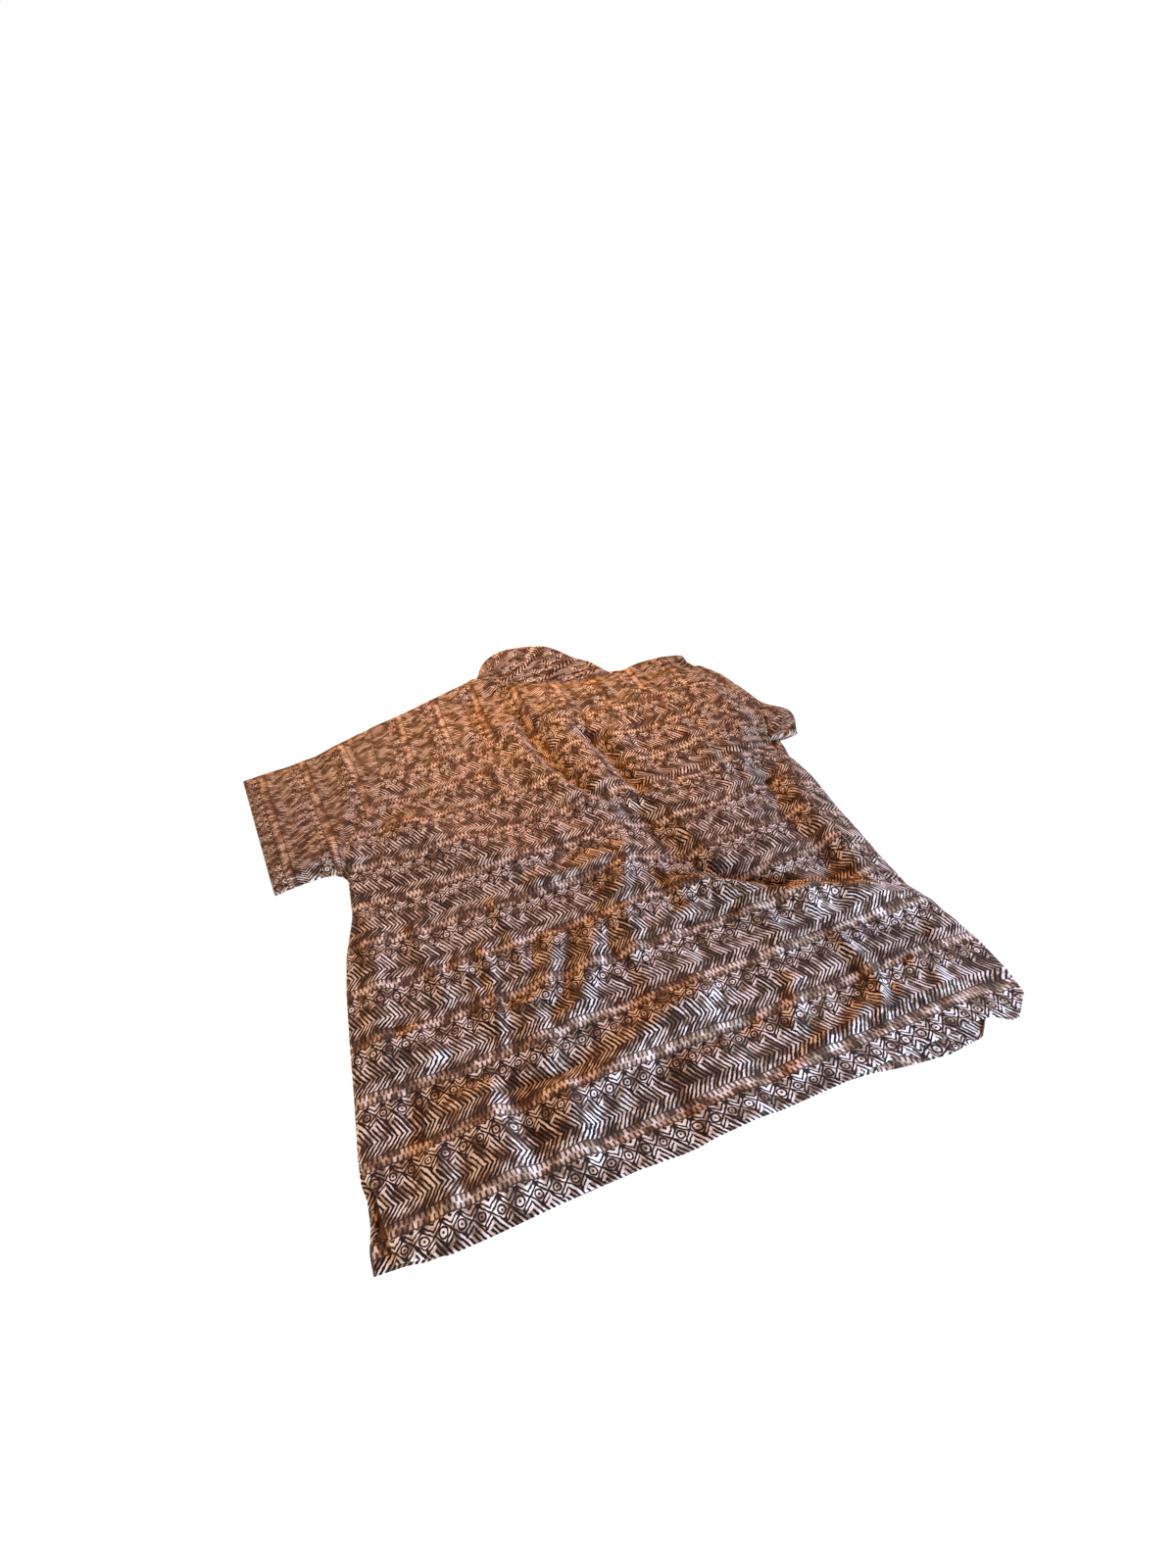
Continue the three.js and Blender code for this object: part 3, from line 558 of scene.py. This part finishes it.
    # Each place takes the drawing of its own row.
    in_ticks = add(tree, "Math COMPARE", (tick_row, 0.0, ROW_HALF))
    over_row = add(tree, "Math COMPARE", (above, 0.31, 0.31))
    under_row = add(tree, "Math COMPARE", (above, -0.33, 0.33))
    on_right = add(tree, "Math GREATER_THAN", (aside, 0.0))
    close_by = add(tree, "Math LESS_THAN", (edge, 2.1))
    right_under = add(tree, "Math MULTIPLY", (under_row, on_right))
    in_under = add(tree, "Math MULTIPLY", (right_under, close_by))
    in_nest = add(tree, "Math MAXIMUM", (over_row, in_under))
    in_diamond = add(tree, "Math LESS_THAN", (edge, 1.08))
    tone = stroke_tone
    for there, own in ((in_nest, nest_tone), (in_ticks, tick_tone), (in_diamond, diamond_tone)):
        tone = add(tree, "Mix", {"Factor": there, "A": tone, "B": own})

    # Ink colours, from near black through brown to the bare cream of the cloth. The print is
    # fainter in patches of 14 mm.
    patch = add(tree, "TexNoise", {"Vector": cloth, "Scale": 1.1, "Detail": 3.0}, **FLAT)
    worn = add(tree, "MapRange", (patch, 0.36, 0.62, 0.45, 1.2))
    faint = add(tree, "MapRange", (patch, 0.52, 0.3, 0, 0.1))
    inked = add(tree, "Math MULTIPLY_ADD", (tone, worn, faint))
    ramp = add(tree, "ValToRGB", (inked,))
    stops = [(0.0, "190f0e"), (0.22, "2a1c17"), (0.45, "6d4e3a"), (0.68, "c0a286"),
             (0.95, "faecdf")]
    while len(ramp.color_ramp.elements) < len(stops):
        ramp.color_ramp.elements.new(0.5)
    for element, (place, code) in zip(ramp.color_ramp.elements, stops):
        element.position = place
        element.color = srgb(code)

    # Plain weave: the warp crosses the weft.
    weave = add(tree, "VectorMath MULTIPLY", (cloth, (REPEAT / THREAD,) * 3))
    warp = add(tree, "TexWave", {"Vector": weave, "Scale": 0.5})
    weft = add(tree, "TexWave", {"Vector": weave, "Scale": 0.5}, bands_direction="Y")
    threads = add(tree, "Math MULTIPLY", (warp, weft))
    bump = add(tree, "Bump", {"Height": threads, "Strength": 0.25, "Distance": 0.0002})
    shader = add(tree, "BsdfPrincipled", {"Base Color": ramp, "Roughness": 0.82, "IOR": 1.45,
                                          "Specular IOR Level": 0.25, "Sheen Weight": 0.12,
                                          "Sheen Roughness": 0.5, "Normal": bump})
    add(tree, "OutputMaterial", (shader,))
    return material


def cotton_wrong_side():
    """The wrong side of the same cotton: the ink shows through only as a dull brown."""
    material, tree = new_material("cotton_wrong_side")
    cloth = add(tree, "UVMap", uv_map="cloth")
    stain = add(tree, "TexNoise", {"Vector": cloth, "Scale": 3.0, "Detail": 3.0}, **FLAT)
    ramp = add(tree, "ValToRGB", (stain,))
    for element, place, code in zip(ramp.color_ramp.elements, (0.35, 0.7), ("5c4034", "86654f")):
        element.position = place
        element.color = srgb(code)
    weave = add(tree, "VectorMath MULTIPLY", (cloth, (REPEAT / THREAD,) * 3))
    warp = add(tree, "TexWave", {"Vector": weave, "Scale": 0.5})
    bump = add(tree, "Bump", {"Height": warp, "Strength": 0.2, "Distance": 0.0002})
    shader = add(tree, "BsdfPrincipled", {"Base Color": ramp, "Roughness": 0.88, "IOR": 1.45,
                                          "Specular IOR Level": 0.2, "Normal": bump})
    add(tree, "OutputMaterial", (shader,))
    return material


COTTON = [printed_cotton(), cotton_wrong_side()]

BACK_ROWS, BACK_COLUMNS = 212, 204
SEAM_HALF = 0.25  # half of the groove between the back and the yoke

x, y = plan_grid(BACK_ROWS, BACK_COLUMNS, LEFT_EDGE, SIDE_SEAM, HEM, YOKE_SEAM)
y[-1] -= SEAM_HALF
points = np.stack([x, y, top_height(x, y)], 2)
print_u = (x + smoothed(travelled(points, 1) + x[:, :1] - x)) / REPEAT
print_v = (y + smoothed(travelled(points, 0) + y[:1] - y) - HEM_ROW) / REPEAT
# The hem's edge turns under and comes back up inside by HEM_FOLD.
turned, turned_v = [], []
for depth, drop in (*[(d, 1) for d in np.linspace(HEM_FOLD, 0.6, 12)], (-0.3, 0.5)):
    turned.append(follow(points, y[0] + depth) - (0, 0, OVER * drop))
    turned_v.append(print_v[0] - max(depth, 0.3) / REPEAT)
points = np.concatenate([np.array(turned), points])
print_u = np.concatenate([np.repeat(print_u[:1], len(turned), 0), print_u])
print_v = np.concatenate([np.array(turned_v), print_v])
back = cloth_piece("back_panel", points, np.stack([print_u, print_v], 2), COTTON)
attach(back, "root")
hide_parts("back")

# -------------------------------------------
# Yoke: a panel of the same cotton with its print turned a quarter, from the back's seam over the
# shoulders to a short lip underneath, where the fronts are sewn to it.
YOKE_BAND = 2.98  # where the turned print's bands start, in diamonds
NECK = (-30, 196)  # the neck lies between these two shoulder points
LIP = 13.0  # the lip's depth
YOKE_ROLL = 7  # the yoke's rolled edge is no deeper than this
YOKE_ROWS = 64

x, y = plan_grid(YOKE_ROWS, BACK_COLUMNS, LEFT_EDGE, SIDE_SEAM, YOKE_SEAM, SHOULDER)
y[0] += SEAM_HALF
z = top_height(x, y)
last_x, last_y, last_z = x[-1], y[-1], z[-1]
in_neck = ease((last_x - NECK[0]) / 14) * ease((NECK[1] - last_x) / 14)
under_z = mix(lying_height(last_x, last_y) + REST, last_z - LAYER, in_neck)
half = np.maximum(LAYER / 2, (last_z - under_z) / 2)
deep = np.minimum(half, YOKE_ROLL)
y = y - deep * ease(np.linspace(0, 1, YOKE_ROWS))[:, None]
around = []
for angle in np.linspace(0, math.pi, 12)[1:]:
    around.append(np.stack([last_x, last_y - deep + deep * math.sin(angle),
                            last_z - half * (1 - math.cos(angle))], 1))
for share in (0.5, 1.0):
    lip = mix(LIP, 1.5, in_neck) * share
    around.append(np.stack([last_x, last_y - deep - lip, last_z - 2 * half], 1))
points = np.concatenate([np.stack([x, y, z], 2), np.array(around)])
length = travelled(points, 0) + points[:1, :, 1]
print_at = np.stack([-length / REPEAT, points[..., 0] / REPEAT + YOKE_BAND], 2)
yoke = cloth_piece("yoke_panel", points, print_at, COTTON)
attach(yoke, "root")
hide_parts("yoke")

# -------------------------------------------
# Left sleeve: one piece of the cotton sewn into a short tube and set into the left armhole, its
# cuff turned in. It lies flat, a little puffed up by the underarm seam.
LEFT_SLEEVE = [  # across its top fold and its underarm fold, from cuff to armhole
    # top x, top y, low x, low y, crown, underarm roll
    (-365, 285, -331, 50, 2.8, 0.6), (-350, 287, -320, 53, 4.2, 1.5), (-318, 290, -303, 55, 5.5, 4),
    (-287, 296, -288, 56, 6.5, 7), (-262, 311, -275, 54, 7, 8), (-232, 321, -264, 46, 7, 7),
    (-187, 326, -251, 34, 7, 5),
]
SLEEVE_ROUND = 48  # points across one wall of a sleeve
CUFF_FOLD = 22.0
CUFF_ROW = 0.42  # the cuff ends this far below a row of diamonds, in diamonds
UNDERARM = 38  # mm from the underarm fold to the first diamond
SLEEVE_FOLDS = [
    (2.2, 8, 8, [(-341, 288), (-334, 220), (-325, 161), (-316, 90)]),
    (2.5, 9, 9, [(-307, 290), (-296, 210), (-290, 146)]),
    (-2.2, 7, 7, [(-268, 300), (-258, 230), (-262, 160)]),
    (3, 8, 8, [(-240, 310), (-228, 240), (-233, 170), (-247, 110)]),
]


def flat_tube(station_points, upper, lower):
    """One flattened ring of a tube: along its upper wall, round the fold, back along the lower."""
    t = (1 - np.cos(np.linspace(0, math.pi, SLEEVE_ROUND + 1))) / 2
    x, y = station_points(t)
    middle = (upper(t, x, y) + lower(t, x, y)) / 2
    width = np.hypot(x[-1] - x[0], y[-1] - y[0])
    spread = np.sqrt(1 - rounded(np.minimum(t, 1 - t) * width, 3.5) ** 2)
    top = np.stack([x, y, middle + (upper(t, x, y) - middle) * spread], 1)
    under = np.stack([x, y, middle - (middle - lower(t, x, y)) * spread], 1)
    return np.concatenate([top, under[-2:0:-1]])


middles = np.array([((r[0] + r[2]) / 2, (r[1] + r[3]) / 2) for r in LEFT_SLEEVE])
distance = np.concatenate([[0], np.cumsum(np.linalg.norm(np.diff(middles, axis=0), axis=1))])


def left_ring(at, inset):
    """Ring at a distance in from the cuff, 'inset' inside the outer cloth."""
    top_x, top_y, low_x, low_y, crown, roll = [
        np.interp(at, distance, [r[k] for r in LEFT_SLEEVE]) for k in range(6)]
    share = (at / distance[-1]) ** 2
    shrink = 1.2 * inset / 230

    def place(t):
        t = mix(shrink, 1 - shrink, t)
        x, y = mix(low_x, top_x, t), mix(low_y, top_y, t)
        armhole = across(LEFT_EDGE, y) - 0.5
        return np.minimum(mix(x, armhole, share), armhole), y

    def upper(t, x, y):
        loose = LAYER + (crown - LAYER) * np.sqrt(np.sin(math.pi * np.clip(t, 0, 1)))
        loose = loose + roll * ease(t / 0.07) * (1 - ease((t - 0.09) / 0.3))
        folds = folds_at(x, y, SLEEVE_FOLDS) + 0.9 * rumple(x, y, 22, 60, 0.1, 6.0)
        loose = loose + folds * ease(at / 30)
        at_seam = mix(REST + LAYER, across(LEFT_HEIGHT, y), ease((y - 40) / 26)) - CLOTH
        return np.maximum(mix(loose + REST, at_seam, share ** 2), 2.0) - inset

    return flat_tube(place, upper, lambda t, x, y: REST + inset + 0 * t)


def sleeve_print(points, edge, underarm):
    """Place on the print of a sleeve whose cuff ends at column 'edge'."""
    along = travelled(points, 1)
    print_v = (along - along[:, edge:edge + 1]) / REPEAT - CUFF_ROW
    print_u = -(travelled(points, 0)[:, underarm, None] + UNDERARM) / REPEAT
    return np.stack([print_u + 0 * print_v, print_v], 2)


cuff = [(CUFF_FOLD, OVER), (14, OVER), (7, OVER), (0.7, OVER), (-0.2, OVER / 2)]
outside = [(at, 0) for at in (0.6, *np.linspace(3, distance[-1], 52))]
points = np.stack([left_ring(*station) for station in cuff + outside], 1)
print_at = sleeve_print(points, len(cuff) - 1, -1)
left_sleeve = cloth_piece("left_sleeve", points, print_at, COTTON, tube=True)
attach(left_sleeve, "root")
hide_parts("sleeve_left")

# -------------------------------------------
# Right sleeve: the same tube, folded under the body. Only the cloth that turns round the armhole
# shows, bunched where the underarm seam sticks out.
SLEEVE_TURN = 14.0  # height of the roll where the sleeve turns under


def right_ring(at, turn, inset):
    """Ring of the right sleeve: 'turn' is its angle round the side, 'at' its way under the body."""
    (_, top_y), (cuff_x, cuff_y), (low_x, low_y), (_, under_y) = TUCKED

    def place(t):
        y = mix(under_y, top_y, t)
        x = mix(across(SIDE_SEAM, y) + 0.8, mix(low_x, cuff_x, t), at)
        return x, mix(y, mix(low_y, cuff_y, t), at)

    def upper(t, x, y):
        return REST + (SLEEVE_TURN - 1.4) / 2 * (1 + math.cos(turn)) + inset + 0 * t

    def lower(t, x, y):
        return REST + LAYER + 1.6 * (1 + math.cos(turn)) - inset + 0 * t

    ring = flat_tube(place, upper, lower)
    t = (ring[:, 1] - under_y) / (top_y - under_y)
    outer = np.arange(len(ring)) <= SLEEVE_ROUND
    bulge = 14 + 29 * np.exp(-(((t - 0.1) / 0.23) ** 4)) - np.where(outer, 0, 4)
    crumple = rumple(ring[:, 0], ring[:, 1] + 60 * turn, 9, 14, 0.4, 2.0)
    ring[:, 0] += math.sin(turn) * (bulge + 2.2 * crumple * np.exp(-(((t - 0.2) / 0.2) ** 2)))
    return ring


cuff = [(at, math.pi, OVER / 2) for at in (1 - CUFF_FOLD / 130, 0.93, 0.999)]
tucked = [(at, math.pi, 0) for at in np.linspace(0, 1, 24)[:0:-1]]
turns = [(0, angle, 0) for angle in np.linspace(math.pi, 0, 26)]
points = np.stack([right_ring(*station) for station in cuff + tucked + turns], 1)
print_at = sleeve_print(points, len(cuff) - 1, 0)
right_sleeve = cloth_piece("right_sleeve", points[::-1], print_at[::-1], COTTON, tube=True)
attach(right_sleeve, "root")
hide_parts("sleeve_right")

# -------------------------------------------
# Left front: a panel of the cotton lying print down on the surface, with a doubled button stand
# that laps under the right front. Its hem and its vent edge are turned in and show from above
# beside the back.
FRONT_LEFT_EDGE = [(-374, -274), (-358, -275), (-338, -272), (-320, -272), (-305, -275),
                   *LEFT_EDGE[4:]]
FRONT_RIGHT_EDGE = [(-389, 258), (-382, 266), (-362, 288), (-335, 312), (-300, 323), (-276, 323),
                    (-250, 317), (-226, 306), (-204, 306), (-177, 305), (-139, 307), (-98, 308),
                    (-40, 313), (-15, 312), (8, 310), (30, 315), (48, 317), (66, 314), (98, 319),
                    (152, 316), (205, 306), (260, 284)]
FRONT_HEM = [(-276, -373), (-262, -374), (-250, -375), (-236, -378), (-214, -379), (-150, -378),
             (120, -377), (150, -380), (170, -384), (196, -388), (223, -391), (256, -389),
             (272, -384), (330, -380)]
FRONT_NECK = [(-30, 340), (-12, 300), (20, 246), (60, 226), (110, 226), (150, 236),
              (172, 250), (196, 256)]
LAP = 16.0  # the stand reaches this far past the centre front
VENT_TOP = -312  # the side seam ends here, and the vent opens below
FRONT_ROWS, FRONT_COLUMNS = 150, 84


def front_top(x):
    """Top edge of the fronts: the shoulder seam on the yoke's lip, and the front neck between."""
    shoulder = across(SHOULDER, x) - YOKE_ROLL - LIP - 1.5
    return np.where((x > NECK[0]) & (x < NECK[1]), across(FRONT_NECK, x), shoulder)


def front_grid(left, right):
    """Rows from the top edge to the hem, and columns between two sides that are given by Y."""
    rows = np.linspace(0, 1, FRONT_ROWS)[:, None]
    y = np.zeros((FRONT_ROWS, FRONT_COLUMNS))
    for _ in range(FITS):
        x = mix(left(y), right(y), np.linspace(0, 1, FRONT_COLUMNS))
        y = mix(front_top(x), across(FRONT_HEM, x), rows)
    return x, y


def front_panel(name, x, y, z, outer_columns):
    """A front from a grid with its first row at the top; the hem turns up inside it."""
    points = np.stack([x, y, z], 2)
    folded = []
    for depth, rise in ((-0.3, 0.5), *[(d, 1) for d in np.linspace(0.6, HEM_FOLD, 9)]):
        folded.append(follow(points[::-1], y[-1] + depth) + (0, 0, OVER * rise))
    points = np.concatenate([points, np.array(folded)])
    print_u = -(travelled(points, 1) + x[:1, outer_columns:outer_columns + 1]) / REPEAT
    print_v = (y[:1] - HEM_ROW - travelled(points, 0)) / REPEAT
    return cloth_piece(name, points, np.stack([print_u, print_v], 2), COTTON)


x, y = front_grid(lambda y: across(FRONT_LEFT_EDGE, y), lambda y: centre_front(y) + LAP)
z = lying_height(x, y) + REST
edge_x, edge_y = x[:, 0], y[:, 0]
side_seam_z = (across(LEFT_HEIGHT, y) - REST) * 0.45 - OVER
closed = ease((y - VENT_TOP) / 16) * (1 - ease((y - ARMHOLE) / 14))
z = z + np.maximum(side_seam_z, 0) * rounded(x - edge_x[:, None], SIDE_ROUND) * closed
# The side allowance is turned in over the panel, wider along the vent than at the seam.
above_hem = ease((edge_y - across(FRONT_HEM, edge_x) - HEM_FOLD) / 8)
fold = 5 * (1 - ease((edge_y - VENT_TOP) / 16)) * above_hem + 1.2
turned = [(fold, 1), (fold * 0.5, 1), (0.6, 1), (-0.2, 0.5)]  # inwards, layers up
x = np.concatenate([np.stack([edge_x + inwards for inwards, _ in turned], 1), x], 1)
y = np.concatenate([np.stack([edge_y] * len(turned), 1), y], 1)
z = np.concatenate([np.stack([z[:, 0] + OVER * rise for _, rise in turned], 1), z], 1)
left_front = front_panel("left_front_panel", x, y, z, len(turned))
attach(left_front, "root")
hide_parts("front_left")

# -------------------------------------------
# Right front: the mirrored panel. It lies over the left front's stand, over the tucked sleeve,
# and at the side it rolls up and over to the side seam, where its print shows.
x, y = front_grid(lambda y: centre_front(y) - LAP, lambda y: across(FRONT_RIGHT_EDGE, y))
base = lying_height(x, y) + stand_step(x, y) + REST
edge_x, edge_y, edge_z = x[:, -1], y[:, -1], base[:, -1]
rolled = ease((edge_y + 280) / 30) * (1 - ease((edge_y - 20) / 30))
crest = np.maximum(across(RIGHT_HEIGHT, edge_y), edge_z + 1.0)
top_z = mix(edge_z + OVER, crest, rolled)
allowance = 1.2 + 9 * ease((edge_y - across(FRONT_HEM, edge_x) - HEM_FOLD) / 8)
turned_x = edge_x - np.where(edge_y < 0, allowance, 3)
top_x = mix(turned_x, across(SIDE_SEAM, edge_y) + 0.7, rolled)
radius = np.minimum((top_z - edge_z) * 0.42, 8)
x = x - radius[:, None] * (1 - ease((edge_x[:, None] - x) / 30))
start = np.stack([edge_x - radius, edge_z], 1)
bulge = np.stack([edge_x, edge_z + radius], 1)
finish = np.stack([top_x, top_z], 1)
reach = np.stack([edge_x - top_x, top_z - edge_z], 1)


def hermite(a, b, leave, arrive, t):
    """Point on the curve from a to b that leaves and arrives in the given directions."""
    return ((2 * t**3 - 3 * t**2 + 1) * a + (t**3 - 2 * t**2 + t) * leave
            + (3 * t**2 - 2 * t**3) * b + (t**3 - t**2) * arrive)


strip = []
for t in np.linspace(0, 1, 7)[1:]:
    strip.append(hermite(start, bulge, radius[:, None] * (1.6, 0), radius[:, None] * (0, 1.6), t))
for t in np.linspace(0, 1, 13)[1:]:
    strip.append(hermite(bulge, finish, reach * (0, 1.0), reach * (-1.1, 0.25), t))
strip = np.array(strip)
x = np.concatenate([x, strip[..., 0].T], 1)
z = np.concatenate([base, strip[..., 1].T], 1)
y = np.concatenate([y, np.repeat(edge_y[:, None], len(strip), 1)], 1)
right_front = front_panel("right_front_panel", x, y, z, 0)
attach(right_front, "root")
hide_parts("front_right")

# -------------------------------------------
# Collar: a doubled band of the cotton sewn round the neck. At the back it stands up behind the
# yoke; at the front it lies between the yoke and the fronts.
COLLAR = [  # seam edge, then free edge, round from one front end to the other
    ((54, 224, 8.4), (64, 288, 1.6)), ((22, 240, 4.6), (44, 302, 1.0)),
    ((-8, 288, 2.4), (26, 322, 1.0)), ((-19, 320, 2.4), (12, 348, 1.0)),
    ((-13, 346, 2.4), (2, 366, 1.4)), ((-13, 366, 4.0), (-4, 377, 7.0)),
    ((-14, 370, 10), (-3, 382, 18)), ((-8, 359, 15.6), (6, 384, 28)),
    ((12, 338, 16.6), (20, 383, 36)), ((41, 322, 17.4), (44, 380, 41)),
    ((76, 306, 17.4), (88, 368, 41)), ((113, 294, 16.4), (112, 350, 36)),
    ((149, 283, 16.4), (134, 330, 27)), ((167, 279, 18), (152, 316, 23)),
    ((179, 286, 10.4), (166, 306, 12)), ((178, 284, 3.4), (168, 300, 4.0)),
    ((168, 251, 2.4), (158, 294, 1.0)), ((144, 231, 4.4), (138, 288, 1.0)),
    ((108, 222, 7.0), (112, 284, 1.6)), ((74, 221, 8.4), (78, 284, 3.6)),
]
COLLAR_CLOTH = 1.6  # two layers and the stiffening between them
COLLAR_ROWS, COLLAR_COLUMNS = 22, 160
SEAM_PRINT = 20  # where the print is cut at the seam, in mm
END_PRINT = 1.4  # and at the front end, in diamonds


def along_table(rows, at):
    """A smooth way through 3-D rows, at fractional row numbers."""
    p = np.array([rows[0], *rows, rows[-1]], float)
    k = np.minimum(at.astype(int), len(rows) - 2)
    return between(p[k], p[k + 1], p[k + 2], p[k + 3], (at - k)[:, None])


spread = np.linspace(0, len(COLLAR) - 1, COLLAR_COLUMNS)
seam_line, free_line = [along_table(edge, spread) for edge in zip(*COLLAR)]
up = np.linspace(0, 1, COLLAR_ROWS)[:, None, None]
points = mix(seam_line, free_line, up)
crumple = rumple(points[..., 0], points[..., 1] + points[..., 2], 16, 30, 0.5, 12.0)
points[..., 2] += 1.4 * crumple * ease(up[..., 0] * 2) * ease((points[..., 2] - 6) / 8)
points[..., 2] = np.maximum(points[..., 2], COLLAR_CLOTH / 2)
print_u = -(travelled(points, 0) + SEAM_PRINT) / REPEAT
print_v = travelled(points, 1) / REPEAT + END_PRINT
collar = cloth_piece("collar_band", points, np.stack([print_u, print_v], 2), COTTON[:1],
                     thickness=COLLAR_CLOTH)
collar.modifiers["thickness"].material_offset = 0
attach(collar, "root")
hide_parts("collar")

# -------------------------------------------
# Buttons: five four-hole buttons of brown resin, sewn to the right front through the left one's
# buttonholes, so that they lie on the surface under the stand.
BUTTON_RADIUS, BUTTON_THICK, BUTTON_SIDES = 5.7, 2.4, 40
HOLE_RADIUS, HOLE_SIDES = 0.65, 12
HOLES_OUT = 1.35  # from the button's middle to the middle of a hole
DISH_LOW, DISH_HIGH = 0.5, 2.1  # the faces are dished to these heights
BUTTON_PROFILE = [  # radius and height, from the lower dish round to the upper
    (4.2, DISH_LOW), (4.4, 0.0), (5.3, 0.0), (BUTTON_RADIUS, 0.5), (BUTTON_RADIUS, 1.9),
    (5.2, BUTTON_THICK), (4.2, DISH_HIGH)]

# Cast polyester resin, polished: an even dark brown with a soft gloss.
resin, tree = new_material("brown_resin")
gloss = add(tree, "BsdfPrincipled", {"Base Color": srgb("4a3226"), "Roughness": 0.35, "IOR": 1.5})
add(tree, "OutputMaterial", (gloss,))


def circle(shape, sides, radius, height, x=0, y=0):
    return [shape.verts.new((x + radius * math.cos(a), y + radius * math.sin(a), height))
            for a in np.linspace(0, 2 * math.pi, sides, endpoint=False)]


def wall(shape, low_ring, high_ring):
    for k in range(len(low_ring)):
        shape.faces.new((low_ring[k], low_ring[k - 1], high_ring[k - 1], high_ring[k]))


for number in range(1, 6):
    low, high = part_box(f"button_{number}")
    middle = (low + high) / 2
    shape = bmesh.new()
    rings = [circle(shape, BUTTON_SIDES, radius, height) for radius, height in BUTTON_PROFILE]
    for low_ring, high_ring in zip(rings, rings[1:]):
        wall(shape, low_ring, high_ring)
    holes = []
    for quarter in range(4):
        angle = math.pi / 4 + quarter * math.pi / 2
        place = HOLES_OUT * math.cos(angle), HOLES_OUT * math.sin(angle)
        holes.append([circle(shape, HOLE_SIDES, HOLE_RADIUS, height, *place)
                      for height in (DISH_LOW, DISH_HIGH)])
        wall(shape, *holes[-1])
    for end in (0, -1):
        loops = [rings[end]] + [pair[end] for pair in holes]
        edges = [shape.edges.get((loop[k - 1], loop[k]))
                 for loop in loops for k in range(len(loop))]
        bmesh.ops.triangle_fill(shape, edges=edges, use_beauty=True)
    bmesh.ops.recalc_face_normals(shape, faces=shape.faces)
    bmesh.ops.scale(shape, vec=(MM, MM, MM), verts=shape.verts)
    mesh = bpy.data.meshes.new(f"button_{number}")
    shape.to_mesh(mesh)
    shape.free()
    mesh.materials.append(resin)
    button = put(f"resin_button_{number}", mesh)
    button.location = (middle.x, middle.y, low.z)
    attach(button, "root")
    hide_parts(f"button_{number}")

# -------------------------------------------
# Floor: a plain white table top of matt laminate that the shirt lies on. It glows, so that it is
# as white far away as under the lamps.
FAR = 20  # metres from the middle to each edge

floor_mesh = bpy.data.meshes.new("floor")
corners = [(-FAR, -FAR, 0), (FAR, -FAR, 0), (FAR, FAR, 0), (-FAR, FAR, 0)]
floor_mesh.from_pydata(corners, [], [(0, 1, 2, 3)])
floor = put("floor", floor_mesh)
floor.location.z = -0.3 * MM
pale, tree = new_material("lit_white_table")
paint = add(tree, "BsdfPrincipled", {"Base Color": srgb("8a8988"), "Roughness": 0.9,
                                     "Emission Color": srgb("ffffff"),
                                     "Emission Strength": 0.97})
add(tree, "OutputMaterial", (paint,))
floor_mesh.materials.append(pale)
floor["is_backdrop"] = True

# -------------------------------------------
# Light: cool daylight low over the hem's right corner with a weaker window at the left, a warm
# ceiling lamp over the collar, a low warm lamp beyond it, and a dim warm room all round. The
# spread of a soft box is in degrees.


def softbox(name, place, aim, size, spread, power, colour):
    lamp = bpy.data.lights.new(name, "AREA")
    lamp.shape = "RECTANGLE"
    lamp.size, lamp.size_y = size
    lamp.spread = math.radians(spread)
    lamp.energy = power
    lamp.color = srgb(colour)[:3]
    light = put(name, lamp)
    light.location = place
    light.rotation_mode = "QUATERNION"
    light.rotation_quaternion = (Vector(aim) - Vector(place)).to_track_quat("-Z", "Y")


softbox("daylight", (0.84, -1.08, 0.34), (0.05, -0.48, 0.0), (0.5, 0.15), 80, 7.1, "b0d2ff")
softbox("side_window", (-0.8, -0.6, 0.3), (-0.25, -0.25, 0.0), (0.3, 0.2), 180, 2.4, "f4e6d6")
softbox("ceiling_lamp", (0.0, -0.35, 0.85), (0.08, 0.32, 0.04), (0.2, 0.2), 40, 0.33, "ffb670")
softbox("warm_lamp", (0.0, 1.35, 0.36), (-0.05, 0.1, 0.0), (0.5, 0.2), 180, 17, "ffac5c")

# The far wall is white up to this height of view, and the warm room is above it.
WALL_TOP = 0.16, 0.24

world = bpy.data.worlds.new("warm_room")
world.use_nodes = True
sky = world.node_tree
sky.nodes.clear()
direction = add(sky, "SeparateXYZ", (add(sky, "TexCoord").outputs["Generated"],))
room = add(sky, "ValToRGB", (add(sky, "MapRange", (direction.outputs["Z"], *WALL_TOP)),))
for element, code in zip(room.color_ramp.elements, ("ffffff", "a0775e")):
    element.color = srgb(code)
add(sky, "OutputWorld", (add(sky, "Background", (room,)),))
bpy.context.scene.world = world
bpy.context.scene.view_settings.view_transform = "Standard"

low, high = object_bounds()
